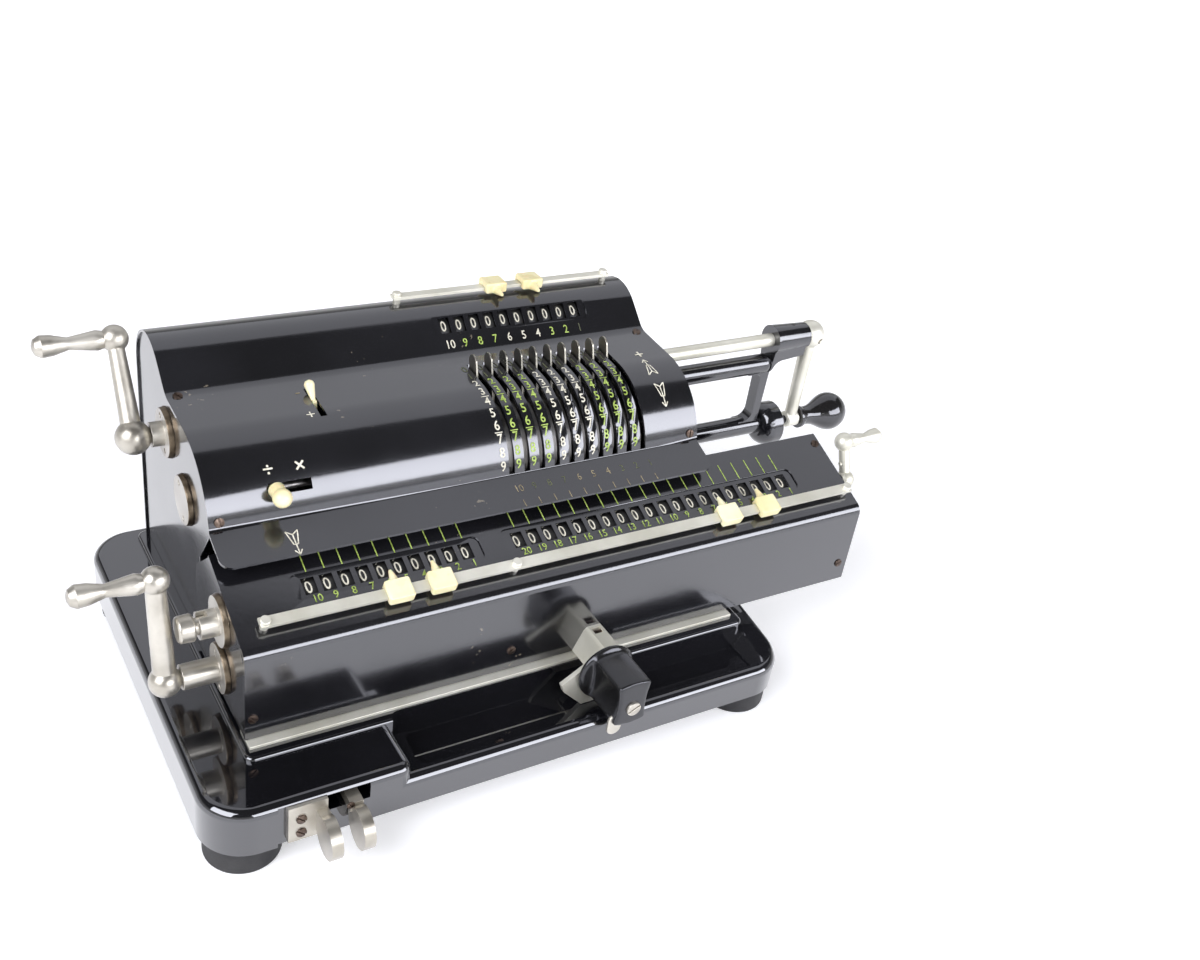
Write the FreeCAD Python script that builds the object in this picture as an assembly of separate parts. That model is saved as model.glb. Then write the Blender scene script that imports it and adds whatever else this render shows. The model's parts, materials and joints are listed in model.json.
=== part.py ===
"""Hand-cranked pinwheel calculating machine, as separate solids that fit together.

Frame: +X runs to the operator's right, +Y away from the operator, +Z up.
The origin is on the table, under the middle of the whole machine with its cranks at rest.
All lengths are in millimetres and all angles in degrees.
"""
import FreeCAD, Part
import math
import os
from FreeCAD import Vector

os.makedirs("parts", exist_ok=True)

# ---------------------------------------------------------------- driving dimensions
# decimal places
pitch = 7.5                 # spacing of levers, dials and number wheels
set_places = 10             # setting levers and their check dials
counter_places = 10         # number wheels of the revolution counter
result_places = 20          # number wheels of the result register
carriage_steps = 9          # steps that the carriage stands to the right of its home place

# fits
running_fit = 0.05          # radial clearance of a shaft in its bore
air = 0.4                   # free gap between two pieces that move past each other

# body
body_left = -157.8          # moves the whole machine, to centre it over the origin
body_width = 229.0
cover_wall = 1.2
cover_lip = 0.8             # the covers' overhang past the side plates
plate_wall = 4.0
drum_y = 27.0               # axis of the setting drum and of the rotor
drum_z = 98.5
drum_radius = 34.2          # outside of the curved front cover
fold_angle = 170.7          # where the drum ends and the visor starts, from +Y
visor_slope = 18.8
visor_length = 17.4
visor_corner = 5.0
trough_rise = 3.0           # slope of the flat between drum and hump
trough_radius = 9.0
seam_y = 44.0               # where the front cover meets the rear cover
hump_y = 75.5               # centre of the rear cover's rounded top
hump_z = 128.3
hump_radius = 20.8
hump_slope = 41.0           # slope of the hump's front face
tie_bar_radius = 4.0
tie_bar_inset = 14.0        # the tie bars stand this far inside the plates' outline
bearing_inset = 6.0         # a short shaft's end reaches this far past the left plate

# base casting
base_left_margin = 25.5     # the base's margins outside the body
base_right_margin = 16.5
base_front = -87.0
base_depth = 192.2
base_under = 12.5           # height of the underside above the table
base_corner = 19.0          # plan radius of the outer corners
base_rounding = 4.0         # rounding of the upper outer edges
tray_reach = 55.0           # from the body's left end to the end of the high front-left block
tray_lip = 27.5             # top of the low shelf's front lip
tray_lip_width = 5.0
tray_floor = 22.0           # floor of the channel behind the lip
tray_corner = 5.0
tray_end_margin = 16.0      # from the base's right side to the channel's end
tray_end_ramp = 8.0         # the channel's floor rises over this length at its right end
ramp_foot = -75.0           # the right margin falls towards the front, from ramp_top to ramp_foot
ramp_top = -30.0
bed_top = 34.2              # top of the high block and of the left margin
bed_inner_corner = 5.0
terrace_top = 36.5          # top of the raised pad under the body
terrace_margin = 4.0        # the pad's margin outside the body, left and right
terrace_front = -62.5
terrace_corner = 4.0
terrace_rounding = 1.6
foot_radius = 15.2
foot_inset = 17.4
foot_chamfer = 0.8

# rotor and setting levers
lever_one_inset = 30.25     # from the body's right end to lever 1
lever_wall = 1.6
lever_zero_angle = 75.0
lever_nine_angle = 162.0
lever_tip_radius = 43.3
lever_width = 7.0
lever_ring_radius = 16.0
rotor_hub_radius = 10.0
rotor_disc_radius = 23.5
rotor_disc_wall = 4.4
rotor_shaft_radius = 5.0
slot_width = 2.8
slot_end_margin = 7.5       # degrees of slot beyond the outermost lever places

# check dials above the levers
dial_radius = 11.0
dial_wall = 5.6
dial_shaft_radius = 3.0
dial_offset = -3.3          # a dial stands this far to the right of its lever
dial_angle = 132.0          # direction from the hump's centre to the windows
dial_sink = 2.3             # the digits' depth under the cover's outer face
panel_height = 10.5         # sunken panel with the dial windows, along the slope
panel_margin = 6.0
panel_sink = 0.5
window_width = 5.4
window_height = 7.6

# crank drive
crank_y = 44.25
crank_z = 120.8
crank_shaft_radius = 3.5
crank_gear_teeth = 13
idler_teeth = 15
gear_wall = 5.0
idler_stud_radius = 2.5
idler_stud_reach = 1.5      # the stud's end past the gear
crank_reach = 100.0         # from the body's right end to the boss's outer face
crank_throw = 51.6
crank_ball_radius = 7.4
crank_ball_face = 4.2       # from the ball's middle to its flat beside the boss
crank_socket_radius = 4.4
crank_socket_length = 8.0
crank_socket_chamfer = 0.8
crank_arm_radius = 4.1      # at the ball
crank_arm_tip_radius = 3.3  # at the socket
handle_pin_radius = 2.2
knob_radius = 10.5
knob_length = 32.8
knob_flange_radius = 6.2    # the handle's flange and neck beside the socket
knob_flange_wall = 1.8
knob_neck_radius = 5.2
knob_neck_length = 6.5      # from the flange's face to the start of the swell

# crank bracket
bracket_bar_radius = 5.2
bracket_upper_drop = 13.4   # upper arm below the crank shaft
bracket_lower_drop = 50.5   # lower arm below the crank shaft
bracket_web_width = 3.8
bracket_web_depth = 6.7
bracket_web_offset = 2.4    # from the boss's inner face back to the web's middle
bracket_blend = 0.7         # the web's feet stay this far inside the arms' surfaces
bracket_foot_run = 8.0      # the web's feet reach this far along the arms
bracket_foot_fillet = 6.0
bracket_crotch_fillet = 2.0
bracket_sweep_lean = 1.8    # the web's outer face leans out by this much up to the sweep
bracket_sweep_fillet = 6.0
bracket_sweep_drop = 2.0    # the sweep's end below the boss's tip
bracket_foot_flare = 4.5    # each arm flares out where it meets the cover
bracket_foot_wall = 2.5
bracket_foot_length = 6.0
boss_radius = 7.8
boss_tip_radius = 6.8       # at the boss's outer face
boss_length = 21.8
rest_cup_radius = 11.7
rest_cup_length = 11.5
rest_cup_dome = 7.0         # length of the cup's domed back
rest_cup_gap = 9.4          # from the crank's socket to the cup's rim
rest_hole_depth = 8.0

# carriage
carriage_overhang = 1.5     # past the body's left end
carriage_length = 301.0
carriage_front = -53.4
carriage_front_height = 41.2
carriage_slope = 21.5
carriage_top_length = 46.7
carriage_bend = 5.0
carriage_back = 8.0
carriage_wall = 1.6
carriage_plate = 3.0
foot_bar_depth = 6.0        # the two bars along the carriage's foot
foot_bar_height = 5.0
wheel_radius = 10.5
wheel_wall = 5.9
wheel_shaft_radius = 3.0
wheel_reach = 22.7          # from the front face to the digits, measured level
register_gap = 24.55        # from result place 20 to counter place 1
recess_height = 12.0        # sunken strip round the windows
recess_margin = 7.0
recess_sink = 0.7
left_crank_teeth = 29       # the left crank's gear
counter_teeth = 18          # the counter shaft's gear
gear_module = 1.0

# guide rail under the carriage
rail_thickness = 1.5
rail_reach = 4.0            # in front of the carriage
rail_back_reach = 8.0
rail_left_reach = 1.0       # past the body's left end
rail_right_inset = 0.6      # short of the body's right end
knob_pocket_left_room = 27.0    # recess beside the shift knob at the left end of its travel
knob_pocket_right_room = 20.0   # and at rest
knob_pocket_depth = 4.6

# shift knob
shift_reach = 150.5         # from the body's left end
shift_z = 39.8
shift_disc_radius = 13.8
shift_disc_wall = 3.0
shift_disc_gap = 17.1       # from the carriage's front to the disc's rear face
shift_body_length = 21.0
shift_body_width = 16.5
shift_body_height = 20.0
shift_waist = 1.4           # the grip's sides curve in by this much
shift_pin_radius = 3.0
shift_plate_wall = 2.2
shift_yoke_width = 6.6
shift_yoke_offset = 3.0     # the yoke's middle stands this far to the right of the knob's axis
shift_yoke_height = 11.9    # top of the yoke above the carriage's foot
shift_yoke_spread = 6.0     # the yoke is this much wider to the left at its foot
shift_roller_radius = 1.9
shift_wing = 20.5           # the plate's left corner, from the knob's axis

# clearing cranks
upper_crank_y = 51.75
upper_crank_z = 116.0
flange_radius = 11.0
flange_wall = 2.2
flange_chamfer = 0.6
spanner_radius = 1.2        # the two blind holes in a flange's face
spanner_depth = 1.4
spanner_circle = 7.5
spanner_angle = 70.0
hub_radius = 5.2
clear_shaft_radius = 3.0
ball_low_radius = 7.2
ball_high_radius = 5.6
grip_length = 27.0
grip_sink = 1.2             # the grip's seat reaches this far into the ball
grip_seat_radius = 4.2
grip_waist_radius = 2.6
grip_bulb_radius = 4.6
arm_low_radius = 4.2
arm_high_radius = 3.2
upper_hub_length = 5.0      # hub of the upper crank's flange
left_hub_length = 14.3      # hub of the carriage's lower left flange
right_hub_length = 8.0
left_ball_radius = 6.4
right_ball_radius = 4.6
right_high_ball_radius = 4.8
left_arm_low_radius = 4.5
left_arm_high_radius = 3.9
right_arm_radius = 2.7
right_grip_length = 19.6
upper_throw = 40.5          # between the two balls of each clearing crank
left_throw = 43.5
right_throw = 19.1
upper_lean = 34.0           # lean of each arm at rest, from upright
left_lean = 11.0
right_lean = 21.5
clear_gear_wall = 4.0

# clearing stop over the left crank
sleeve_length = 7.2
sleeve_radius = 5.6
sleeve_notch_width = 4.0
sleeve_notch_length = 3.6
stop_stem_radius = 3.4
stop_gap = 1.6              # from the sleeve's end to the knob
stop_knob_length = 6.4

# marker rails
marker_bar_width = 4.6
marker_bar_wall = 1.5
marker_bar_height = 2.6     # underside of the bar above the carriage
marker_width = 11.0
marker_depth = 9.0
marker_height = 6.4
nib_length = 6.0
top_rail_reach = 108.5      # from the body's left end
top_rail_length = 113.0
top_rail_y = 77.5
top_rail_height = 3.0       # underside of the bar above the posts' feet
top_rail_sink = 0.4         # the posts' feet start this far inside the cover's skin
post_radius = 1.7
post_head = 0.8             # height of a post above the bar
post_inset = 2.2            # a post's distance from the bar's end
middle_post_reach = 115.7   # from the body's left end
carriage_marker_reaches = [63.2, 81.5, 224.7, 246.5]
top_marker_reaches = [159.0, 178.2]
rail_line = 10.1            # level distance from the carriage's front to its marker rail

# small levers on the covers
sign_reach = 55.6           # from the body's left end
sign_front = 20.2
sign_rear = 41.0
sign_slot = 2.8
mode_reach = 25.0           # from the body's left end
mode_slot_length = 17.5
mode_angle = 149.0
mode_guide_reach = 24.0     # the guide rod's distance from the drum's axis
mode_guide_radius = 2.0
mode_ball_radius = 3.9
mode_ball_stand = 3.1       # from the cover's face to the ball
mode_slot = 4.6
key_wall = 1.8              # thickness of the sign lever's stem
stem_depth = 3.0
ring_wall = 4.0             # the sign lever's ring round the rotor's shaft
sign_rest = 8.5             # from the slot's rear end to the key's stem at rest
sign_knob_radius = 2.2
sign_tip_radius = 0.8       # the teardrop's lower end
sign_tip_length = 7.4
sign_tip_lean = 38.0        # the teardrop leans back from the stem by this much
mode_stem_radius = 1.9
collar_length = 8.0         # the mode lever's collar on its guide rod

# pinch lever at the base's front
pinch_reach = 14.6          # from the body's left end
pinch_plate_width = 15.5
pinch_plate_height = 17.7
pinch_plate_wall = 2.6
pinch_disc_radius = 8.6
pinch_disc_wall = 4.6
pinch_tab_drop = 11.5       # the tabs' middle below the slot's top
pinch_spacing = 12.9
pinch_neck_height = 7.0     # the tab's neck above its middle
pinch_recess_depth = 1.6    # the plate's shallow recess in the base's front
pinch_recess_margin = 3.6
pinch_play = 5.0            # free slot to the right of the pinch lever
notch_floor = 24.5          # the slot that the pinch lever's arm comes out of
notch_top = 32.0
notch_depth = 14.0

# ---------------------------------------------------------------- derived places
base_rear = base_front + base_depth
body_right = body_left + body_width
base_left = body_left - base_left_margin
tray_left = body_left + tray_reach
shift_x = body_left + shift_reach
knob_pocket_left = shift_x - carriage_steps * pitch - knob_pocket_left_room
knob_pocket_right = shift_x + knob_pocket_right_room
sign_x = body_left + sign_reach
mode_left = body_left + mode_reach
mode_right = mode_left + mode_slot_length
pinch_x = body_left + pinch_reach
carriage_left = body_left - carriage_overhang
base_right = body_right + base_right_margin
body_rear = hump_y + hump_radius
terrace_left = body_left - terrace_margin
terrace_right = body_right + terrace_margin
terrace_rear = body_rear + terrace_margin / 2
plate_left_x = body_left + cover_lip
plate_right_x = body_right - cover_lip - plate_wall
lever_one = body_right - lever_one_inset
result_one = lever_one + carriage_steps * pitch
counter_one = result_one - (result_places - 1) * pitch - register_gap
carriage_right = carriage_left + carriage_length
rail_top = terrace_top + rail_thickness
carriage_bottom = rail_top + air
slope = math.radians(carriage_slope)
slope_along = Vector(0, math.cos(slope), math.sin(slope))
slope_out = Vector(0, -math.sin(slope), math.cos(slope))
carriage_shoulder = Vector(0, carriage_front, carriage_bottom + carriage_front_height)
digit_line = carriage_shoulder + slope_along * (wheel_reach / math.cos(slope))
wheel_axis = digit_line - slope_out * (carriage_wall + air + wheel_radius)
left_crank_z = wheel_axis.z - gear_module * (left_crank_teeth + counter_teeth) / 2
boss_end = body_right + crank_reach
boss_start = boss_end - boss_length
crank_x = boss_end + air + crank_ball_face
middle_plate = (counter_one + result_one - (result_places - 1) * pitch) / 2
upper_ball_x = plate_left_x - flange_wall - upper_hub_length - air - ball_low_radius + 1
left_ball_x = carriage_left - flange_wall - left_hub_length - air - left_ball_radius + 1
right_ball_x = carriage_right + right_hub_length + air + right_ball_radius
carriage_rail_foot = carriage_shoulder + slope_along * (rail_line / math.cos(slope))
X = Vector(1, 0, 0)


# ---------------------------------------------------------------- shared operations
def save(name, shape):
    """Write one sub-part as a STEP file."""
    shape.exportStep("parts/" + name + ".step")
    bounds = shape.BoundBox
    print(name, len(shape.Solids), "solids",
          [round(v, 1) for v in (bounds.XMin, bounds.YMin, bounds.ZMin,
                                 bounds.XMax, bounds.YMax, bounds.ZMax)])


def polar(y, z, radius, angle):
    """Point in the YZ plane at a radius and angle from (y, z)."""
    turn = math.radians(angle)
    return Vector(0, y + radius * math.cos(turn), z + radius * math.sin(turn))


def rod(x_start, length, y, z, radius):
    """Round bar along X."""
    return Part.makeCylinder(radius, length, Vector(x_start, y, z), X)


def block(x_start, x_end, y_start, y_end, z_start, z_end):
    """Box between two opposite corners."""
    return Part.makeBox(x_end - x_start, y_end - y_start, z_end - z_start,
                        Vector(x_start, y_start, z_start))


def prism(edges, x_start, length):
    """Closed outline in the YZ plane, pushed along X."""
    wire = Part.Wire(Part.__sortEdges__(edges))
    face = Part.Face(wire)
    face.translate(Vector(x_start, 0, 0))
    return face.extrude(Vector(length, 0, 0))


def polygon(points):
    """Straight edges through the points and back to the first."""
    closed = list(points) + [points[0]]
    return [Part.LineSegment(a, b).toShape() for a, b in zip(closed, closed[1:])]


def arc(y, z, radius, start, end):
    """Arc in the YZ plane between two angles."""
    middle = (start + end) / 2
    return Part.Arc(polar(y, z, radius, start), polar(y, z, radius, middle),
                    polar(y, z, radius, end)).toShape()


def turned(profile, y, z):
    """Solid of revolution about an X-parallel axis; the profile lists (x, radius)."""
    points = [Vector(x, y + radius, z) for x, radius in profile]
    points.append(Vector(profile[-1][0], y, z))
    points.append(Vector(profile[0][0], y, z))
    face = Part.Face(Part.makePolygon(points + [points[0]]))
    return face.revolve(Vector(0, y, z), X, 360)


def plan_block(outline, z_start, z_end, radii):
    """Block with a polygonal plan; radii rounds the upright edge at each corner."""
    points = [Vector(x, y, z_start) for x, y in outline]
    solid = Part.Face(Part.makePolygon(points + [points[0]])).extrude(Vector(0, 0, z_end - z_start))
    for (x, y), radius in zip(outline, radii):
        if radius > 0:
            edges = [e for e in solid.Edges if is_upright_at(e, x, y)]
            solid = solid.makeFillet(radius, edges)
    return solid


def is_upright_at(edge, x, y):
    """True for a vertical edge that stands on the plan point (x, y)."""
    bounds = edge.BoundBox
    level = bounds.XLength < 1e-6 and bounds.YLength < 1e-6
    return level and abs(bounds.XMin - x) < 1e-6 and abs(bounds.YMin - y) < 1e-6


def front_view(points, y_start, depth):
    """Straight-sided outline in the XZ plane, pushed along Y."""
    corners = [Vector(x, y_start, z) for x, z in points]
    return Part.Face(Part.makePolygon(corners + [corners[0]])).extrude(Vector(0, depth, 0))


def is_level_at(edge, x, z):
    """True for an edge along Y through (x, z)."""
    bounds = edge.BoundBox
    level = bounds.XLength < 1e-6 and bounds.ZLength < 1e-6
    return level and abs(bounds.XMin - x) < 1e-6 and abs(bounds.ZMin - z) < 1e-6


def round_top(solid, radius):
    """Round every edge that lies in the solid's highest plane."""
    top = solid.BoundBox.ZMax
    edges = [e for e in solid.Edges if e.BoundBox.ZMin > top - 1e-6]
    return solid.makeFillet(radius, edges)


def sphere(x, y, z, radius):
    """Ball at a point."""
    return Part.makeSphere(radius, Vector(x, y, z))


def spur_gear(teeth, module, x_start, wall, y, z, phase):
    """Spur gear about an X-parallel axis, with straight-flanked teeth and some backlash."""
    pitch_radius = teeth * module / 2
    step = 360.0 / teeth
    points = []
    for tooth in range(teeth):
        middle = phase + tooth * step
        for radius, share in ((pitch_radius - 1.2 * module, -0.36), (pitch_radius + 0.8 * module, -0.11),
                              (pitch_radius + 0.8 * module, 0.11), (pitch_radius - 1.2 * module, 0.36)):
            points.append(polar(y, z, radius, middle + share * step))
    return prism(polygon(points), x_start, wall)


drive_span = math.hypot(crank_y - drum_y, crank_z - drum_z)
drive_module = drive_span / (crank_gear_teeth + idler_teeth)
drive_angle = math.degrees(math.atan2(crank_z - drum_z, crank_y - drum_y))
idler_place = polar(drum_y, drum_z, drive_span / 2, drive_angle)
gear_x = plate_right_x - air - gear_wall


# ---------------------------------------------------------------- cover outline
def line_meet(point, direction, other, other_direction):
    """Crossing of two lines in the YZ plane."""
    cross = direction.y * other_direction.z - direction.z * other_direction.y
    gap = other - point
    along = (gap.y * other_direction.z - gap.z * other_direction.y) / cross
    return point + direction * along


def cover_shape(inset):
    """Key points of the covers' outline, moved inwards by inset."""
    drum = drum_radius - inset
    hump = hump_radius - inset
    rise = math.radians(trough_rise)
    climb = math.radians(hump_slope)
    flat_direction = Vector(0, math.cos(rise), math.sin(rise))
    climb_direction = Vector(0, math.cos(climb), math.sin(climb))
    flat_start = polar(drum_y, drum_z, drum, 90 + trough_rise)
    climb_end = polar(hump_y, hump_z, hump, 90 + hump_slope)
    corner = line_meet(flat_start, flat_direction, climb_end, climb_direction)
    radius = trough_radius + inset
    reach = radius * math.tan((climb - rise) / 2)
    visor_fall = math.radians(visor_slope)
    visor_direction = Vector(0, -math.cos(visor_fall), -math.sin(visor_fall))
    visor_under = Vector(0, math.sin(visor_fall), -math.cos(visor_fall))
    outer_fold = polar(drum_y, drum_z, drum_radius, fold_angle)
    on_visor = outer_fold + visor_under * inset
    offset = on_visor - Vector(0, drum_y, drum_z)
    half = offset.dot(visor_direction)
    back = math.sqrt(half * half - offset.dot(offset) + drum * drum) - half
    if inset == 0:
        back = 0.0
    fold = on_visor + visor_direction * back
    fold_turn = math.degrees(math.atan2(fold.z - drum_z, fold.y - drum_y))
    bend_centre = corner + flat_direction * -reach + Vector(0, -math.sin(rise), math.cos(rise)) * radius
    return {
        "drum": drum, "hump": hump, "fold": fold, "fold_turn": fold_turn,
        "visor_tip": outer_fold + visor_direction * visor_length + visor_under * inset,
        "flat_start": flat_start, "flat_direction": flat_direction,
        "seam": line_meet(flat_start, flat_direction, Vector(0, seam_y, 0), Vector(0, 0, 1)),
        "bend_start": corner - flat_direction * reach,
        "bend_end": corner + climb_direction * reach,
        "bend_centre": bend_centre, "bend_radius": radius,
        "climb_end": climb_end,
        "rear_top": polar(hump_y, hump_z, hump, 0),
        "rear_foot": Vector(0, hump_y + hump, terrace_top),
    }


def drum_edges(shape):
    """Edges from the fold over the drum to the seam."""
    return [arc(drum_y, drum_z, shape["drum"], shape["fold_turn"], 90 + trough_rise),
            Part.LineSegment(shape["flat_start"], shape["seam"]).toShape()]


def hump_edges(shape):
    """Edges from the seam over the hump to the rear foot."""
    centre = shape["bend_centre"]
    bend = arc(centre.y, centre.z, shape["bend_radius"], -90 + trough_rise, -90 + hump_slope)
    return [Part.LineSegment(shape["seam"], shape["bend_start"]).toShape(), bend,
            Part.LineSegment(shape["bend_end"], shape["climb_end"]).toShape(),
            arc(hump_y, hump_z, shape["hump"], 90 + hump_slope, 0),
            Part.LineSegment(shape["rear_top"], shape["rear_foot"]).toShape()]


cover_outer = cover_shape(0)
cover_inner = cover_shape(cover_wall)


# ---------------------------------------------------------------- base
def make_base():
    """Enamelled casting: low front lip and channel, high left block, falling right margin, raised pad."""
    corners = [base_corner] * 4
    plan = [(base_left, base_front), (base_right, base_front),
            (base_right, base_rear), (base_left, base_rear)]
    body = plan_block(plan, base_under, bed_top, corners)
    over_front = [Vector(0, base_front - 1, tray_lip), Vector(0, ramp_foot, tray_lip),
                  Vector(0, ramp_top, bed_top), Vector(0, ramp_top, bed_top + 1),
                  Vector(0, base_front - 1, bed_top + 1)]
    step = tray_left - bed_inner_corner - 1
    body = body.cut(prism(polygon(over_front), step, base_right - step + 1))
    rim = [e for e in rim_edges(body) if abs(e.BoundBox.Center.x - step) > 0.01]
    body = body.makeFillet(base_rounding, rim)
    bed_plan = [(step - 10, base_front), (tray_left, base_front), (tray_left, terrace_front + 2),
                (step - 10, terrace_front + 2)]
    bed = plan_block(bed_plan, base_under, bed_top, [0, bed_inner_corner, 0, 0])
    bed = bed.makeFillet(base_rounding, [e for e in rim_edges(bed) if e.BoundBox.XMax > step - 9
                                         and e.BoundBox.YMin < terrace_front + 1])
    pad_plan = [(terrace_left, terrace_front), (terrace_right, terrace_front),
                (terrace_right, terrace_rear), (terrace_left, terrace_rear)]
    pad = round_top(plan_block(pad_plan, base_under, terrace_top, [terrace_corner] * 4), terrace_rounding)
    channel_end = base_right - tray_end_margin
    channel = prism(polygon([Vector(0, base_front + tray_lip_width, tray_floor),
                             Vector(0, terrace_front, tray_floor),
                             Vector(0, terrace_front, bed_top),
                             Vector(0, base_front + tray_lip_width, bed_top)]),
                    tray_left + tray_lip_width, channel_end - tray_left - tray_lip_width)
    left_edges = [e for e in channel.Edges if is_upright_at(e, tray_left + tray_lip_width, e.BoundBox.YMin)]
    channel = channel.makeFillet(tray_corner, left_edges)
    end = [Vector(channel_end - 1, base_front + tray_lip_width, tray_floor),
           Vector(channel_end, base_front + tray_lip_width, tray_floor),
           Vector(channel_end + tray_end_ramp, base_front + tray_lip_width, bed_top),
           Vector(channel_end - 1, base_front + tray_lip_width, bed_top)]
    end = Part.Face(Part.makePolygon(end + [end[0]])).extrude(
        Vector(0, terrace_front - base_front - tray_lip_width, 0))
    casting = body.fuse(bed).cut(channel.fuse(end)).fuse(pad)
    pocket = [(knob_pocket_left, terrace_front - 1), (knob_pocket_right, terrace_front - 1),
              (knob_pocket_right, terrace_front + knob_pocket_depth),
              (knob_pocket_left, terrace_front + knob_pocket_depth)]
    corners = [0, 0, tray_corner - 1, tray_corner - 1]
    casting = casting.cut(plan_block(pocket, tray_floor, terrace_top + 1, corners))
    recess = block(pinch_plate_left() - pinch_recess_margin, pinch_x + pinch_disc_wall,
                   base_front - 1, base_front + pinch_recess_depth, base_under - 1, notch_top + air)
    return casting.cut(recess).cut(make_pinch_notch()).removeSplitter()


def rim_edges(solid):
    """Edges between an upright side and a face that looks up."""
    rim = []
    for edge in solid.Edges:
        sides = solid.ancestorsOfType(edge, Part.Face)
        rises = []
        for face in sides:
            u_low, u_high, v_low, v_high = face.ParameterRange
            rises.append(face.normalAt((u_low + u_high) / 2, (v_low + v_high) / 2).z)
        if len(rises) == 2 and max(rises) > 0.5 and abs(min(rises, key=abs)) < 0.01:
            rim.append(edge)
    return rim


def pinch_plate_left():
    """Left edge of the fixed pinch plate."""
    return pinch_x - pinch_plate_width + pinch_disc_wall


def make_pinch_notch():
    """Slot in the base's front that the pinch lever's arm comes out of."""
    left = pinch_x + pinch_disc_wall
    return block(left, left + pinch_spacing + pinch_play - air, base_front - 1, base_front + notch_depth,
                 notch_floor, notch_top)


def foot_places():
    """Centres of the four feet."""
    return [(x, y) for x in (base_left + foot_inset, base_right - foot_inset)
            for y in (base_front + foot_inset, base_rear - foot_inset)]


def make_feet():
    """Four round rubber feet."""
    feet = []
    for x, y in foot_places():
        foot = Part.makeCylinder(foot_radius, base_under, Vector(x, y, 0))
        bottom = [e for e in foot.Edges if e.BoundBox.ZMax < 1e-6]
        feet.append(foot.makeChamfer(foot_chamfer, bottom))
    return Part.makeCompound(feet)


def make_guide_rail():
    """Flat nickel rail that the carriage slides on."""
    return block(body_left - rail_left_reach, body_right - rail_right_inset, carriage_front - rail_reach,
                 carriage_front + rail_back_reach, terrace_top, rail_top)


save("base_casting", make_base())
save("rubber_feet", make_feet())
save("guide_rail", make_guide_rail())


# ---------------------------------------------------------------- body shell
def carriage_clearance_points():
    """Front edge of the side plates, just behind the carriage's back."""
    top = cover_inner["fold"] + Vector(0, 0.6, -1.5)
    knee_y = carriage_back + 2.0
    return [top, Vector(0, knee_y, wheel_axis.z + 4.5), Vector(0, knee_y, terrace_top)]


def make_side_plate(x_start, bores):
    """Steel end plate inside the covers; bores lists the axis and radius of each shaft."""
    front = carriage_clearance_points()
    edges = drum_edges(cover_inner) + hump_edges(cover_inner)
    edges.append(Part.LineSegment(cover_inner["rear_foot"], front[2]).toShape())
    edges.append(Part.LineSegment(front[2], front[1]).toShape())
    edges.append(Part.LineSegment(front[1], front[0]).toShape())
    edges.append(Part.LineSegment(front[0], cover_inner["fold"]).toShape())
    plate = prism(edges, x_start, plate_wall)
    for y, z, radius in bores:
        plate = plate.cut(rod(x_start - 1, plate_wall + 2, y, z, radius + running_fit))
    return plate


def mode_guide_place():
    """Axis of the mode lever's guide rod."""
    return polar(drum_y, drum_z, mode_guide_reach, mode_angle)


def sheet(outer_edges, inner_edges, ends):
    """Bent sheet between two offset outlines, as wide as the body."""
    closing = [Part.LineSegment(a, b).toShape() for a, b in ends]
    return prism(outer_edges + inner_edges + closing, body_left, body_width)


def visor_edge(shape):
    """Line from the visor's tip to the fold."""
    return Part.LineSegment(shape["visor_tip"], shape["fold"]).toShape()


def sector(x_start, width, angle_from, angle_to, inner, outer):
    """Piece of a thick ring about the drum's axis."""
    edges = [arc(drum_y, drum_z, inner, angle_from, angle_to),
             arc(drum_y, drum_z, outer, angle_from, angle_to)]
    for angle in (angle_from, angle_to):
        edges.append(Part.LineSegment(polar(drum_y, drum_z, inner, angle),
                                      polar(drum_y, drum_z, outer, angle)).toShape())
    return prism(edges, x_start, width)


def lever_x(place):
    """Middle of a setting lever; place 1 is the rightmost."""
    return lever_one - (place - 1) * pitch


def make_front_cover():
    """Curved cover with lever slots, and the visor that shades the carriage."""
    cover = sheet([visor_edge(cover_outer)] + drum_edges(cover_outer),
                  [visor_edge(cover_inner)] + drum_edges(cover_inner),
                  [(cover_outer["visor_tip"], cover_inner["visor_tip"]),
                   (cover_outer["seam"], cover_inner["seam"])])
    tip_edges = [e for e in cover.Edges
                 if e.BoundBox.XLength < 1e-6 and e.BoundBox.YMax < cover_outer["visor_tip"].y + 1]
    cover = cover.makeFillet(visor_corner, tip_edges)
    for place in range(1, set_places + 1):
        cover = cover.cut(sector(lever_x(place) - slot_width / 2, slot_width,
                                 lever_zero_angle - slot_end_margin,
                                 min(lever_nine_angle + slot_end_margin, fold_angle - 1.5),
                                 drum_radius - 3, drum_radius + 9))
    cover = cover.cut(block(sign_x - sign_slot / 2, sign_x + sign_slot / 2, sign_front,
                            min(sign_rear, seam_y - 1.0), drum_z + 20, drum_z + 50))
    half = math.degrees(mode_slot / drum_radius) / 2
    return cover.cut(sector(mode_left, mode_right - mode_left, mode_angle - half, mode_angle + half,
                            drum_radius - 3, drum_radius + 3))


def dial_frame():
    """Window centre on the hump's outer face, the way out of it and the way up along it."""
    out = polar(0, 0, 1, dial_angle)
    up = Vector(0, out.z, -out.y)
    centre = polar(hump_y, hump_z, hump_radius, dial_angle)
    return centre, out, up


def dial_x(place):
    """Middle of a check dial."""
    return lever_x(place) + dial_offset


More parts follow.
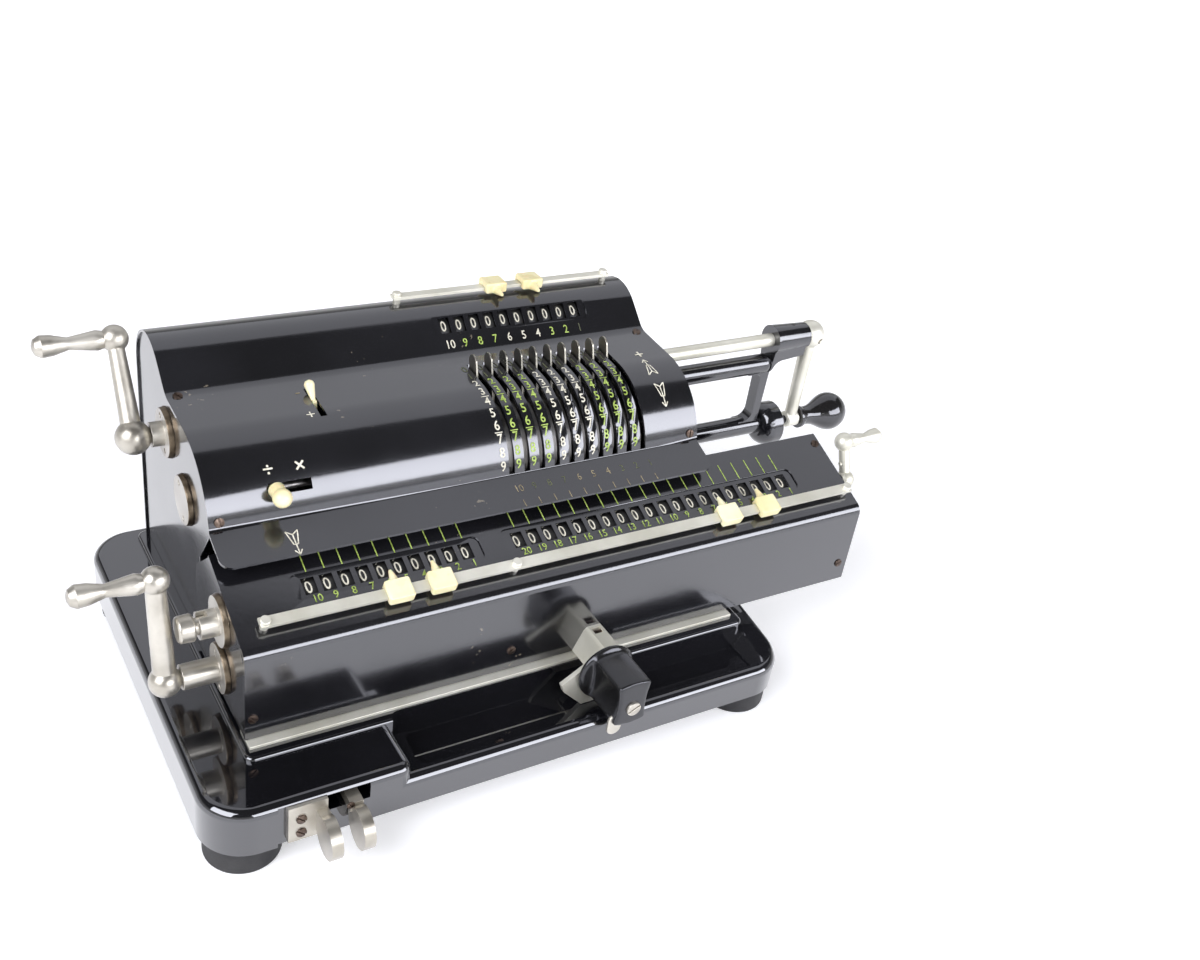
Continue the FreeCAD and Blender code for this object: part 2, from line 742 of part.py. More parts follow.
def tilted_block(x_start, x_end, centre, out, up, height, inside, outside, corner):
    """Block on a sloping face: height along the slope, from inside to outside its surface."""
    low = centre - up * (height / 2) - out * inside
    points = [low, low + up * height]
    points.append(points[1] + out * (inside + outside))
    points.append(low + out * (inside + outside))
    solid = prism(polygon(points), x_start, x_end - x_start)
    if corner == 0:
        return solid
    upright = [e for e in solid.Edges if e.BoundBox.XLength < 1e-6
               and abs((e.Vertexes[1].Point - e.Vertexes[0].Point).normalize().dot(out)) > 0.99]
    return solid.makeFillet(corner, upright)


def make_rear_cover():
    """Hump with the sunken window panel of the check dials."""
    cover = sheet(hump_edges(cover_outer), hump_edges(cover_inner),
                  [(cover_outer["seam"], cover_inner["seam"]),
                   (cover_outer["rear_foot"], cover_inner["rear_foot"])])
    centre, out, up = dial_frame()
    panel_left = dial_x(set_places) - panel_margin
    panel_right = dial_x(1) + panel_margin
    cover = cover.cut(tilted_block(panel_left, panel_right, centre, out, up,
                                   panel_height, panel_sink, 3, 2.5))
    for place in range(1, set_places + 1):
        middle = dial_x(place)
        cover = cover.cut(tilted_block(middle - window_width / 2, middle + window_width / 2,
                                       centre, out, up, window_height, 4, 3, 0))
    return cover


def make_cross_bars():
    """Tie bars, the dials' fixed shaft, the mode lever's guide rod and the idler's stud."""
    inside_left = plate_left_x + plate_wall
    inside_length = plate_right_x - inside_left
    centre, out, up = dial_frame()
    dial_axis = centre - out * (dial_sink + dial_radius)
    bars = [rod(inside_left, inside_length, dial_axis.y, dial_axis.z, dial_shaft_radius),
            rod(inside_left, inside_length, body_rear - tie_bar_inset, terrace_top + tie_bar_inset,
                tie_bar_radius),
            rod(inside_left, inside_length, carriage_back + tie_bar_inset, terrace_top + tie_bar_inset,
                tie_bar_radius)]
    guide = mode_guide_place()
    bars.append(rod(inside_left, mode_right + bearing_inset - inside_left, guide.y, guide.z,
                    mode_guide_radius))
    stud_start = gear_x - idler_stud_reach
    bars.append(rod(stud_start, plate_right_x - stud_start, idler_place.y, idler_place.z,
                    idler_stud_radius))
    return Part.makeCompound(bars)


rotor_bore = (drum_y, drum_z, rotor_shaft_radius)
save("side_plate_left",
     make_side_plate(plate_left_x, [rotor_bore, (upper_crank_y, upper_crank_z, clear_shaft_radius)]))
save("side_plate_right",
     make_side_plate(plate_right_x, [rotor_bore, (crank_y, crank_z, crank_shaft_radius)]))
save("front_cover", make_front_cover())
save("rear_cover", make_rear_cover())
save("cross_bars", make_cross_bars())


# ---------------------------------------------------------------- flanges on the left plate
def make_flange(x_face, y, z, hub_length, bore):
    """Nickel bearing flange on a face that looks to -X, with two spanner holes."""
    profile = [(x_face, flange_radius), (x_face - flange_wall, flange_radius - flange_chamfer)]
    if hub_length > 0:
        profile += [(x_face - flange_wall, hub_radius), (x_face - flange_wall - hub_length, hub_radius)]
    flange = turned(profile, y, z)
    for turn in (spanner_angle, spanner_angle + 180):
        place = polar(y, z, spanner_circle, turn)
        flange = flange.cut(rod(x_face - flange_wall - 1, 1 + spanner_depth, place.y, place.z,
                                spanner_radius))
    if bore > 0:
        length = flange_wall + hub_length + 2
        flange = flange.cut(rod(x_face - length + 1, length, y, z, bore + running_fit))
    return flange


save("rotor_bearing_flange", make_flange(plate_left_x, drum_y, drum_z, 0, 0))
save("upper_crank_flange", make_flange(plate_left_x, upper_crank_y, upper_crank_z,
                                       upper_hub_length, clear_shaft_radius))


# ---------------------------------------------------------------- clearing cranks
def bar_between(start, end, start_radius, end_radius):
    """Tapered round bar between two points."""
    way = end - start
    if abs(start_radius - end_radius) < 1e-6:
        return Part.makeCylinder(start_radius, way.Length, start, way)
    return Part.makeCone(start_radius, end_radius, way.Length, start, way)


def make_clearing_crank(low, side, length, lean, shaft_end, radii, grip_reach):
    """Shaft, lower ball, tapered arm, upper ball and waisted grip; side is -1 left, 1 right.

    radii gives the lower ball, the arm's two ends and the upper ball.
    """
    low_radius, arm_low, arm_high, high_radius = radii
    turn = math.radians(lean)
    high = low + Vector(0, math.sin(turn), math.cos(turn)) * length
    crank = sphere(low.x, low.y, low.z, low_radius)
    crank = crank.fuse(bar_between(low, high, arm_low, arm_high))
    crank = crank.fuse(sphere(high.x, high.y, high.z, high_radius))
    start = min(low.x, shaft_end)
    crank = crank.fuse(rod(start, abs(shaft_end - low.x), low.y, low.z, clear_shaft_radius))
    neck = high_radius - grip_sink
    size = high_radius / ball_high_radius
    profile = [(neck, (grip_seat_radius - 0.6) * size),
               (neck + 2.5, grip_seat_radius * size),
               (neck + grip_reach * 0.5, grip_waist_radius * size),
               (neck + grip_reach * 0.72, grip_seat_radius * size),
               (neck + grip_reach * 0.88, grip_bulb_radius * size),
               (neck + grip_reach * 0.97, (grip_seat_radius - 1) * size),
               (neck + grip_reach, grip_waist_radius / 2 * size)]
    grip = turned([(high.x + side * x, radius) for x, radius in profile], high.y, high.z)
    return crank.fuse(grip)


save("upper_clearing_crank",
     make_clearing_crank(Vector(upper_ball_x, upper_crank_y, upper_crank_z), -1, upper_throw,
                         upper_lean, plate_left_x + plate_wall + bearing_inset,
                         (ball_low_radius, arm_low_radius, arm_high_radius, ball_high_radius),
                         grip_length))


# ---------------------------------------------------------------- rotor, levers and dials
def make_rotor():
    """Pinwheel drum: a hub that the levers turn on, one disc per place and the shaft ends."""
    shaft_start = plate_left_x + air
    rotor = rod(shaft_start, plate_right_x + plate_wall - shaft_start, drum_y, drum_z,
                rotor_shaft_radius)
    first = lever_x(set_places) - pitch
    rotor = rotor.fuse(rod(first, lever_x(1) + pitch / 2 - first, drum_y, drum_z, rotor_hub_radius))
    for place in range(1, set_places + 2):
        middle = lever_x(place) + pitch / 2
        rotor = rotor.fuse(rod(middle - rotor_disc_wall / 2, rotor_disc_wall, drum_y, drum_z,
                               rotor_disc_radius))
    return rotor.fuse(spur_gear(crank_gear_teeth, drive_module, gear_x, gear_wall,
                                drum_y, drum_z, drive_angle + 180.0 / crank_gear_teeth))


def make_lever(place):
    """Setting lever: a ring on the rotor's hub, an arm and the finger that stands in its slot."""
    x_start = lever_x(place) - lever_wall / 2
    ring = rod(x_start, lever_wall, drum_y, drum_z, lever_ring_radius)
    half = lever_width / 2
    tip = lever_tip_radius - half
    arm = Part.makeBox(lever_wall, tip, lever_width, Vector(x_start, 0, -half))
    arm = arm.fuse(Part.makeCylinder(half, lever_wall, Vector(x_start, tip, 0), X))
    arm.rotate(Vector(0, 0, 0), X, lever_zero_angle)
    arm.translate(Vector(0, drum_y, drum_z))
    bore = rod(x_start - 1, lever_wall + 2, drum_y, drum_z, rotor_hub_radius + running_fit)
    return ring.fuse(arm).cut(bore)


def make_dial(place):
    """Check dial on its fixed shaft."""
    centre, out, up = dial_frame()
    axis = centre - out * (dial_sink + dial_radius)
    x_start = dial_x(place) - dial_wall / 2
    dial = rod(x_start, dial_wall, axis.y, axis.z, dial_radius)
    return dial.cut(rod(x_start - 1, dial_wall + 2, axis.y, axis.z, dial_shaft_radius + running_fit))


save("rotor", make_rotor())
for lever_place in range(1, set_places + 1):
    save("setting_lever_%02d" % lever_place, make_lever(lever_place))
    save("check_dial_%02d" % lever_place, make_dial(lever_place))


# ---------------------------------------------------------------- crank drive
def make_idler():
    """Gear between the crank's pinion and the rotor's, on a stud in the right plate."""
    gear = spur_gear(idler_teeth, drive_module, gear_x, gear_wall, idler_place.y, idler_place.z,
                     drive_angle + 180.0 / idler_teeth)
    return gear.cut(rod(gear_x - 1, gear_wall + 2, idler_place.y, idler_place.z,
                        idler_stud_radius + running_fit))


def make_crank_shaft():
    """Long nickel shaft with its pinion inside the body."""
    start = gear_x - bearing_inset / 2
    shaft = rod(start, crank_x - start, crank_y, crank_z, crank_shaft_radius)
    return shaft.fuse(spur_gear(crank_gear_teeth, drive_module, gear_x, gear_wall, crank_y, crank_z,
                                drive_angle + 180))


def make_crank_arm():
    """Ball on the shaft's end, tapered arm and the socket that the handle's pin slides in."""
    ball = sphere(crank_x, crank_y, crank_z, crank_ball_radius)
    inner = crank_x - crank_ball_radius - 1
    ball = ball.cut(rod(inner, crank_x - crank_ball_face - inner, crank_y, crank_z,
                        crank_ball_radius))
    low = Vector(crank_x, crank_y, crank_z - crank_throw)
    arm = bar_between(Vector(crank_x, crank_y, crank_z), low, crank_arm_radius, crank_arm_tip_radius)
    half = crank_socket_length / 2
    edge = crank_socket_radius - crank_socket_chamfer
    socket = turned([(crank_x - half, edge), (crank_x - half + crank_socket_chamfer, crank_socket_radius),
                     (crank_x + half - crank_socket_chamfer, crank_socket_radius),
                     (crank_x + half, edge)], crank_y, low.z)
    arm = ball.fuse(arm).fuse(socket)
    arm = arm.cut(rod(inner, crank_x - inner, crank_y, crank_z, crank_shaft_radius))
    return arm.cut(rod(crank_x - crank_socket_length, crank_socket_length * 2, crank_y, low.z,
                       handle_pin_radius + running_fit))


def make_crank_handle():
    """Pear-shaped black handle with the pin that slides in the crank's socket."""
    z = crank_z - crank_throw
    face = crank_x + crank_socket_length / 2 + air
    middle = face + knob_length - knob_radius
    swell_start = face + knob_neck_length
    profile = [(face, knob_flange_radius), (face + knob_flange_wall, knob_flange_radius),
               (face + knob_flange_wall * 2, knob_neck_radius)]
    for step in range(8):
        share = step / 8
        rise = (1 - math.cos(math.pi * share)) / 2
        profile.append((swell_start + (middle - swell_start) * share,
                        knob_neck_radius + (knob_radius - knob_neck_radius) * rise))
    for step in range(7):
        turn = math.radians(90 - step * 15)
        profile.append((middle + knob_radius * math.cos(turn), max(knob_radius * math.sin(turn), 0.3)))
    handle = turned(profile, crank_y, z)
    pin_start = crank_x - crank_socket_length / 2
    return handle.fuse(rod(pin_start, face - pin_start, crank_y, z, handle_pin_radius))


def make_bracket():
    """Cast frame that carries the crank's outer bearing and its rest cup."""
    start = body_right - cover_lip
    upper_z = crank_z - bracket_upper_drop
    lower_z = crank_z - bracket_lower_drop
    web_x = boss_start - bracket_web_offset
    cup_rim = crank_x - crank_socket_length / 2 - rest_cup_gap
    cup_start = cup_rim - rest_cup_length
    frame = rod(start, web_x - start, crank_y, upper_z, bracket_bar_radius)
    frame = frame.fuse(sphere(web_x, crank_y, upper_z, bracket_bar_radius))
    frame = frame.fuse(rod(start, cup_start + 1 - start, crank_y, lower_z, bracket_bar_radius))
    for z in (upper_z, lower_z):
        flare = bracket_bar_radius + bracket_foot_flare
        frame = frame.fuse(turned([(start, flare), (start + bracket_foot_wall, flare),
                                   (start + bracket_foot_length, bracket_bar_radius)], crank_y, z))
    frame = frame.fuse(make_web(web_x, upper_z, lower_z, bracket_web_depth))
    neck = make_neck(upper_z).common(make_web(web_x, upper_z, lower_z, boss_radius * 2))
    frame = frame.fuse(neck)
    boss = turned([(boss_start, boss_radius), (boss_end, boss_tip_radius)], crank_y, crank_z)
    dome = []
    for step in range(7):
        turn = math.radians(step * 15)
        dome.append((cup_start + rest_cup_dome * (1 - math.cos(turn)),
                     bracket_bar_radius + (rest_cup_radius - bracket_bar_radius) * math.sin(turn)))
    cup = turned(dome + [(cup_rim, rest_cup_radius)], crank_y, crank_z - crank_throw)
    frame = frame.fuse(boss).fuse(cup)
    frame = frame.cut(rod(boss_start - 1, boss_length + 2, crank_y, crank_z,
                          crank_shaft_radius + running_fit))
    return frame.cut(rod(cup_rim - rest_hole_depth, rest_hole_depth + 1, crank_y,
                         crank_z - crank_throw, handle_pin_radius + air))


def make_neck(upper_z):
    """Tapering block that hangs the boss on the upper arm, along the whole boss."""
    tilt = math.degrees(math.asin((boss_tip_radius - bracket_bar_radius) / bracket_upper_drop))
    sides = [polar(crank_y, crank_z, boss_tip_radius, tilt),
             polar(crank_y, crank_z, boss_tip_radius, 180 - tilt),
             polar(crank_y, upper_z, bracket_bar_radius, 180 - tilt),
             polar(crank_y, upper_z, bracket_bar_radius, tilt)]
    neck = prism(polygon(sides), boss_start, boss_length)
    return neck.fuse(rod(boss_start, boss_length, crank_y, upper_z, bracket_bar_radius))


def make_web(web_x, upper_z, lower_z, depth):
    """Upright web between the arms, which sweeps out under the boss."""
    left = web_x - bracket_web_width / 2
    right = web_x + bracket_web_width / 2
    high_foot = upper_z - bracket_bar_radius + bracket_blend
    low_foot = lower_z + bracket_bar_radius - bracket_blend
    foot_end = left - bracket_foot_run
    lean_top = crank_z - boss_tip_radius - bracket_sweep_drop * 2
    tip = boss_end - bracket_sweep_drop
    outline = [(foot_end, upper_z), (foot_end, high_foot), (left, high_foot), (left, low_foot),
               (foot_end, low_foot), (foot_end, lower_z), (right, lower_z),
               (right + bracket_sweep_lean, lean_top),
               (tip, crank_z - boss_tip_radius - bracket_sweep_drop),
               (tip, crank_z), (boss_start, crank_z), (boss_start, upper_z)]
    web = front_view(outline, crank_y - depth / 2, depth)
    for x, z, radius in ((left, high_foot, bracket_crotch_fillet),
                         (left, low_foot, bracket_foot_fillet),
                         (right + bracket_sweep_lean, lean_top, bracket_sweep_fillet)):
        web = web.makeFillet(radius, [edge for edge in web.Edges if is_level_at(edge, x, z)])
    return web


save("idler_gear", make_idler())
save("crank_shaft", make_crank_shaft())
save("crank_arm", make_crank_arm())
save("crank_handle", make_crank_handle())
save("crank_bracket", make_bracket())


# ---------------------------------------------------------------- carriage
def carriage_outline(inset):
    """Corner points of the carriage's section: front foot, shoulder, back edge."""
    shoulder_turn = math.radians((90 - carriage_slope) / 2)
    lift = inset * math.tan(shoulder_turn)
    foot = Vector(0, carriage_front + inset, carriage_bottom)
    shoulder = Vector(0, carriage_front + inset, carriage_shoulder.z - lift)
    back = carriage_shoulder + slope_along * carriage_top_length - slope_out * inset
    return foot, shoulder, back


def make_carriage_cover():
    """Bent sheet over the number wheels, with a sunken strip of windows for each register."""
    foot, shoulder, back = carriage_outline(0)
    foot_in, shoulder_in, back_in = carriage_outline(carriage_wall)
    cover = prism(polygon([foot, shoulder, back, back_in, shoulder_in, foot_in]),
                  carriage_left, carriage_length)
    along = [e for e in cover.Edges if e.BoundBox.XLength > carriage_length - 1]
    outer = [e for e in along if abs(e.BoundBox.ZMax - shoulder.z) < 0.01 and e.BoundBox.YMax < foot.y + 0.01]
    inner = [e for e in along if abs(e.BoundBox.ZMax - shoulder_in.z) < 0.01
             and abs(e.BoundBox.YMax - foot_in.y) < 0.01]
    cover = cover.makeFillet(carriage_bend, outer)
    cover = cover.makeFillet(carriage_bend - carriage_wall, inner_edges(cover, inner[0]))
    for first, count in ((result_one, result_places), (counter_one, counter_places)):
        last = first - (count - 1) * pitch
        cover = cover.cut(tilted_block(last - recess_margin, first + recess_margin, digit_line, slope_out,
                                       slope_along, recess_height, recess_sink, 3, 3.0))
        for place in range(count):
            middle = first - place * pitch
            cover = cover.cut(tilted_block(middle - window_width / 2, middle + window_width / 2, digit_line,
                                           slope_out, slope_along, window_height, 5, 3, 0))
    return cover


def inner_edges(solid, pattern):
    """Edges of the solid that lie where the pattern edge was."""
    spot = pattern.BoundBox.Center
    return [e for e in solid.Edges if (e.BoundBox.Center - spot).Length < 0.01]


def carriage_section():
    """Closed outline of the carriage's end plates, just inside its cover."""
    foot, shoulder, back = carriage_outline(carriage_wall)
    corner = shoulder + Vector(0, 0, -carriage_bend + carriage_wall)
    bevel = shoulder + slope_along * (carriage_bend - carriage_wall)
    knee = Vector(0, carriage_back, wheel_axis.z + 3)
    heel = Vector(0, carriage_back, carriage_bottom)
    return [foot, corner, bevel, back, knee, heel]


def make_carriage_frame():
    """End plates and middle plate joined by two bars along the foot."""
    frame = None
    for x_start in (carriage_left, middle_plate - carriage_plate / 2, carriage_right - carriage_plate):
        plate = prism(polygon(carriage_section()), x_start, carriage_plate)
        plate = plate.cut(rod(x_start - 1, carriage_plate + 2, wheel_axis.y, wheel_axis.z,
                              wheel_shaft_radius + running_fit))
        frame = plate if frame is None else frame.fuse(plate)
    frame = frame.cut(rod(carriage_left - 1, carriage_plate + 2, wheel_axis.y, left_crank_z,
                          clear_shaft_radius + running_fit))
    foot = carriage_outline(carriage_wall)[0]
    front_bar = block(carriage_left, carriage_right, foot.y, foot.y + foot_bar_depth, carriage_bottom,
                      carriage_bottom + foot_bar_height)
    rear_bar = block(carriage_left, carriage_right, carriage_back - foot_bar_depth, carriage_back,
                     carriage_bottom, carriage_bottom + foot_bar_height)
    return frame.fuse(front_bar).fuse(rear_bar).removeSplitter()


def make_wheels(first, count, shaft_start, shaft_end):
    """Row of number wheels fast on one shaft."""
    group = rod(shaft_start, shaft_end - shaft_start, wheel_axis.y, wheel_axis.z, wheel_shaft_radius)
    for place in range(count):
        group = group.fuse(rod(first - place * pitch - wheel_wall / 2, wheel_wall,
                               wheel_axis.y, wheel_axis.z, wheel_radius))
    return group


save("carriage_cover", make_carriage_cover())
save("carriage_frame", make_carriage_frame())

save("result_wheels", make_wheels(result_one, result_places, middle_plate + air / 2, right_ball_x))
right_crank = make_clearing_crank(Vector(right_ball_x, wheel_axis.y, wheel_axis.z), 1, right_throw,
                                  right_lean, right_ball_x,
                                  (right_ball_radius, right_arm_radius, right_arm_radius,
                                   right_high_ball_radius), right_grip_length)
right_crank = right_crank.cut(rod(carriage_right, right_ball_x - carriage_right, wheel_axis.y,
                                  wheel_axis.z, wheel_shaft_radius))
save("right_clearing_crank", right_crank)

counter_shaft_start = carriage_left - flange_wall
counter_wheels = make_wheels(counter_one, counter_places, counter_shaft_start, middle_plate - air / 2)
counter_wheels = counter_wheels.fuse(
    spur_gear(counter_teeth, gear_module, carriage_left + carriage_plate + air, clear_gear_wall,
              wheel_axis.y, wheel_axis.z, -90))
save("counter_wheels", counter_wheels)


# ---------------------------------------------------------------- clearing gear at the carriage's left
left_crank = make_clearing_crank(Vector(left_ball_x, wheel_axis.y, left_crank_z), -1, left_throw,
                                 left_lean, carriage_left + carriage_plate + bearing_inset,
                                 (left_ball_radius, left_arm_low_radius, left_arm_high_radius,
                                  ball_high_radius), grip_length)
left_crank = left_crank.fuse(
    spur_gear(left_crank_teeth, gear_module, carriage_left + carriage_plate + air, clear_gear_wall,
              wheel_axis.y, left_crank_z, 90 + 180.0 / left_crank_teeth))
save("left_clearing_crank", left_crank)

save("left_crank_flange", make_flange(carriage_left, wheel_axis.y, left_crank_z, left_hub_length,
                                      clear_shaft_radius))


def make_stop_sleeve():
    """Flange with a notched sleeve that guides the clearing stop's stem."""
    x_face = carriage_left
    sleeve = turned([(x_face, flange_radius), (x_face - flange_wall, flange_radius - flange_chamfer),
                     (x_face - flange_wall, sleeve_radius),
                     (x_face - flange_wall - sleeve_length, sleeve_radius)], wheel_axis.y, wheel_axis.z)
    bore_length = flange_wall + sleeve_length + 1
    sleeve = sleeve.cut(rod(x_face - bore_length, bore_length + 1, wheel_axis.y, wheel_axis.z,
                            stop_stem_radius + running_fit))
    end = x_face - flange_wall - sleeve_length
    half = sleeve_notch_width / 2
    notch = block(end - 1, end + sleeve_notch_length, wheel_axis.y - half, wheel_axis.y + half,
                  wheel_axis.z, wheel_axis.z + sleeve_radius + 1)
    return sleeve.cut(notch)


def make_stop_knob():
    """Round knob and stem that turns in the notched sleeve."""
    inner = carriage_left - flange_wall - sleeve_length - stop_gap
    outer = inner - stop_knob_length
    knob = turned([(outer, sleeve_radius - 1), (outer + 0.8, sleeve_radius - 0.2),
                   (inner - 0.6, sleeve_radius), (inner, sleeve_radius - 0.6)], wheel_axis.y, wheel_axis.z)
    return knob.fuse(rod(inner - 1, carriage_left - flange_wall - air - inner + 1,
                         wheel_axis.y, wheel_axis.z, stop_stem_radius))


save("stop_sleeve", make_stop_sleeve())
save("stop_knob", make_stop_knob())


# ---------------------------------------------------------------- marker rails and markers
def make_marker_rail(x_start, x_end, foot, along, out, lift, middle_posts):
    """Flat bar over a face, on a post at each end and one at each place in middle_posts."""
    centre = foot + out * (lift + marker_bar_wall / 2)
    rail = tilted_block(x_start, x_end, centre, out, along, marker_bar_width, marker_bar_wall / 2,
                        marker_bar_wall / 2, 0)
    for x in [x_start + post_inset, x_end - post_inset] + middle_posts:
        post = Part.makeCylinder(post_radius, lift + marker_bar_wall + post_head,
                                 Vector(x, foot.y, foot.z), out)
        rail = rail.fuse(post)
    return rail


def make_marker(x, foot, along, out, lift):
    """Ivory marker that straddles the bar and points up the slope with a nib."""
    centre = foot + out * (lift + marker_bar_wall / 2)
    body = tilted_block(x - marker_width / 2, x + marker_width / 2, centre, out, along, marker_depth,
                        marker_height / 2 - 1.6, marker_height / 2, 0)
    edges = [e for e in body.Edges if e.Length < marker_depth + 0.1]
    body = body.makeFillet(1.0, edges)
    tip = centre + along * (marker_depth / 2 + nib_length)
    heel = centre + along * (marker_depth / 2 - 2)
    nib = Part.makeCone(2.6, 0.7, (tip - heel).Length, heel + Vector(x, 0, 0), tip - heel)
    body = body.fuse(nib)
    tunnel = tilted_block(x - marker_width, x + marker_width, centre, out, along,
                          marker_bar_width + air, marker_bar_wall / 2 + air / 2,
                          marker_bar_wall / 2 + air / 2, 0)
    return body.cut(tunnel)


save("carriage_marker_rail",
     make_marker_rail(carriage_left + 8.5, carriage_right - 2.5, carriage_rail_foot, slope_along,
                      slope_out, marker_bar_height, [body_left + middle_post_reach]))
for number, reach in enumerate(carriage_marker_reaches, start=1):
    save("carriage_marker_%d" % number,
         make_marker(body_left + reach, carriage_rail_foot, slope_along, slope_out, marker_bar_height))

level_out = Vector(0, 0, 1)
toward_front = Vector(0, -1, 0)
top_skin = hump_z + math.sqrt(hump_radius ** 2 - (top_rail_y - hump_y) ** 2)
top_foot = Vector(0, top_rail_y, top_skin - top_rail_sink)
top_rail_left = body_left + top_rail_reach
top_rail = make_marker_rail(top_rail_left, top_rail_left + top_rail_length, top_foot, toward_front,
                            level_out, top_rail_height, [])
save("top_marker_rail", top_rail.cut(rod(body_left, body_width, hump_y, hump_z, hump_radius)))
for number, reach in enumerate(top_marker_reaches, start=1):
    save("top_marker_%d" % number,
         make_marker(body_left + reach, top_foot, toward_front, level_out, top_rail_height))


# ---------------------------------------------------------------- sign and mode levers
def make_sign_lever():
    """Key that rocks along its slot between plus and minus, on a ring on the rotor's shaft."""
    surface = drum_z + drum_radius
    y = sign_rear - sign_rest
    reach = math.hypot(y - drum_y, surface - drum_z)
    turn = math.degrees(math.atan2(surface - drum_z, y - drum_y))
    ring = rod(sign_x - key_wall / 2, key_wall, drum_y, drum_z, rotor_shaft_radius + ring_wall)
    stem = Part.makeBox(key_wall, reach, stem_depth, Vector(sign_x - key_wall / 2, 0, -stem_depth / 2))
    stem.rotate(Vector(0, 0, 0), X, turn)
    stem.translate(Vector(0, drum_y, drum_z))
    way = polar(0, 0, 1, turn - sign_tip_lean)
    foot = polar(drum_y, drum_z, reach - sign_tip_radius, turn) + Vector(sign_x, 0, 0)
    head = foot + way * sign_tip_length
    point = Part.makeCone(sign_tip_radius, sign_knob_radius, sign_tip_length, foot, way)
    knob = sphere(head.x, head.y, head.z, sign_knob_radius)
    bore = rod(sign_x - key_wall, key_wall * 2, drum_y, drum_z, rotor_shaft_radius + running_fit)
    return ring.fuse(stem).fuse(point).fuse(knob).cut(bore)


def make_mode_lever():
    """Ball key that slides along its slot between multiply and divide, on a guide rod."""
    way = polar(0, 0, 1, mode_angle)
    x = mode_left + mode_stem_radius + air * 2
    guide = mode_guide_place()
    collar = rod(x - collar_length / 2, collar_length, guide.y, guide.z, mode_guide_radius + 1.4)
    start = Vector(x, guide.y, guide.z)
    ball_reach = drum_radius + mode_ball_stand + mode_ball_radius
    stem = Part.makeCylinder(mode_stem_radius, ball_reach - mode_guide_reach, start, way)
    ball = Part.makeSphere(mode_ball_radius, Vector(x, drum_y, drum_z) + way * ball_reach)
    bore = rod(x - collar_length, collar_length * 2, guide.y, guide.z, mode_guide_radius + running_fit)
    return collar.fuse(stem).fuse(ball).cut(bore)


save("sign_lever", make_sign_lever())
save("mode_lever", make_mode_lever())


# ---------------------------------------------------------------- shift knob
def make_shift_bracket():
    """Nickel yoke on the carriage's front foot, with a roller, and a winged plate behind the knob."""
    plate_front = carriage_front - shift_disc_gap + air
    low = tray_floor + air
    top = carriage_bottom + shift_yoke_height
    heel = carriage_bottom + air
    right = shift_x + shift_yoke_offset + shift_yoke_width / 2
    left = right - shift_yoke_width
    yoke = front_view([(right, heel), (right, top), (left, top), (left - 1.5, top - 1.5),
                       (left - shift_yoke_spread, heel)], plate_front, carriage_front - plate_front)
    window = block(left + shift_roller_radius / 2, right - shift_roller_radius / 2, carriage_front - 5.6,
                   carriage_front - 1.4, top - 5, top + 1)
    roller = rod(left, shift_yoke_width, carriage_front - 3.5, top - 2.6, shift_roller_radius)
    wing_x = shift_x - shift_wing
    plate = front_view([(right, top), (left, top), (left - shift_yoke_spread, top - 5), (wing_x, low + 14),
                        (wing_x + 1.5, low + 10), (shift_x - 9, low), (right, low)],
                       plate_front, shift_plate_wall)
    bore = Part.makeCylinder(shift_pin_radius + running_fit, carriage_front - plate_front + 1,
                             Vector(shift_x, plate_front - 1, shift_z), Vector(0, 1, 0))
    boss = Part.makeCylinder(shift_pin_radius + 2.5, shift_plate_wall + 4,
                             Vector(shift_x, plate_front, shift_z), Vector(0, 1, 0))
    return yoke.cut(window).fuse(roller).fuse(plate).fuse(boss).cut(bore)


def make_shift_knob():
    """Black knob with a round flange and a waisted grip."""
    disc_back = carriage_front - shift_disc_gap
    forward = Vector(0, -1, 0)
    disc = Part.makeCylinder(shift_disc_radius, shift_disc_wall, Vector(shift_x, disc_back, shift_z), forward)
    rim = [e for e in disc.Edges if e.BoundBox.ZLength > shift_disc_radius]
    disc = disc.makeFillet(1.2, rim)
    half_width = shift_body_width / 2
    half_height = shift_body_height / 2
    corners = [(-half_width, -half_height), (half_width, -half_height),
               (half_width, half_height), (-half_width, half_height)]
    edges = []
    for (x_a, z_a), (x_b, z_b) in zip(corners, corners[1:] + corners[:1]):
        start = Vector(shift_x + x_a, disc_back, shift_z + z_a)
        end = Vector(shift_x + x_b, disc_back, shift_z + z_b)
        upright = abs(x_a - x_b) < 1e-6
        bulge = Vector(0, 0, shift_waist * z_a / half_height)
        if upright:
            bulge = Vector(-shift_waist * x_a / half_width, 0, 0)
        middle = (start + end) * 0.5 + bulge
        edges.append(Part.Arc(start, middle, end).toShape())
    grip = Part.Face(Part.Wire(edges)).extrude(forward * (shift_disc_wall + shift_body_length))
    pin_length = air + shift_plate_wall + 4
    pin = Part.makeCylinder(shift_pin_radius, pin_length, Vector(shift_x, disc_back, shift_z),
                            Vector(0, 1, 0))
    return disc.fuse(grip).fuse(pin)


save("shift_bracket", make_shift_bracket())
save("shift_knob", make_shift_knob())


# ---------------------------------------------------------------- pinch lever
def pinch_tab(x):
    """Round finger tab that stands forward of the base's front."""
    face = base_front - pinch_plate_wall + pinch_recess_depth
    centre = Vector(x, face - pinch_disc_radius, notch_top - pinch_tab_drop)
    neck = block(x, x + pinch_disc_wall, centre.y, face + 0.5, centre.z, centre.z + pinch_neck_height)
    return Part.makeCylinder(pinch_disc_radius, pinch_disc_wall, centre, X).fuse(neck)


def make_pinch_bracket():
    """Fixed plate on the base's front with one finger tab."""
    seat = base_front + pinch_recess_depth
    plate = block(pinch_plate_left(), pinch_x + pinch_disc_wall, seat - pinch_plate_wall, seat,
                  notch_top - pinch_plate_height, notch_top)
    return plate.fuse(pinch_tab(pinch_x))


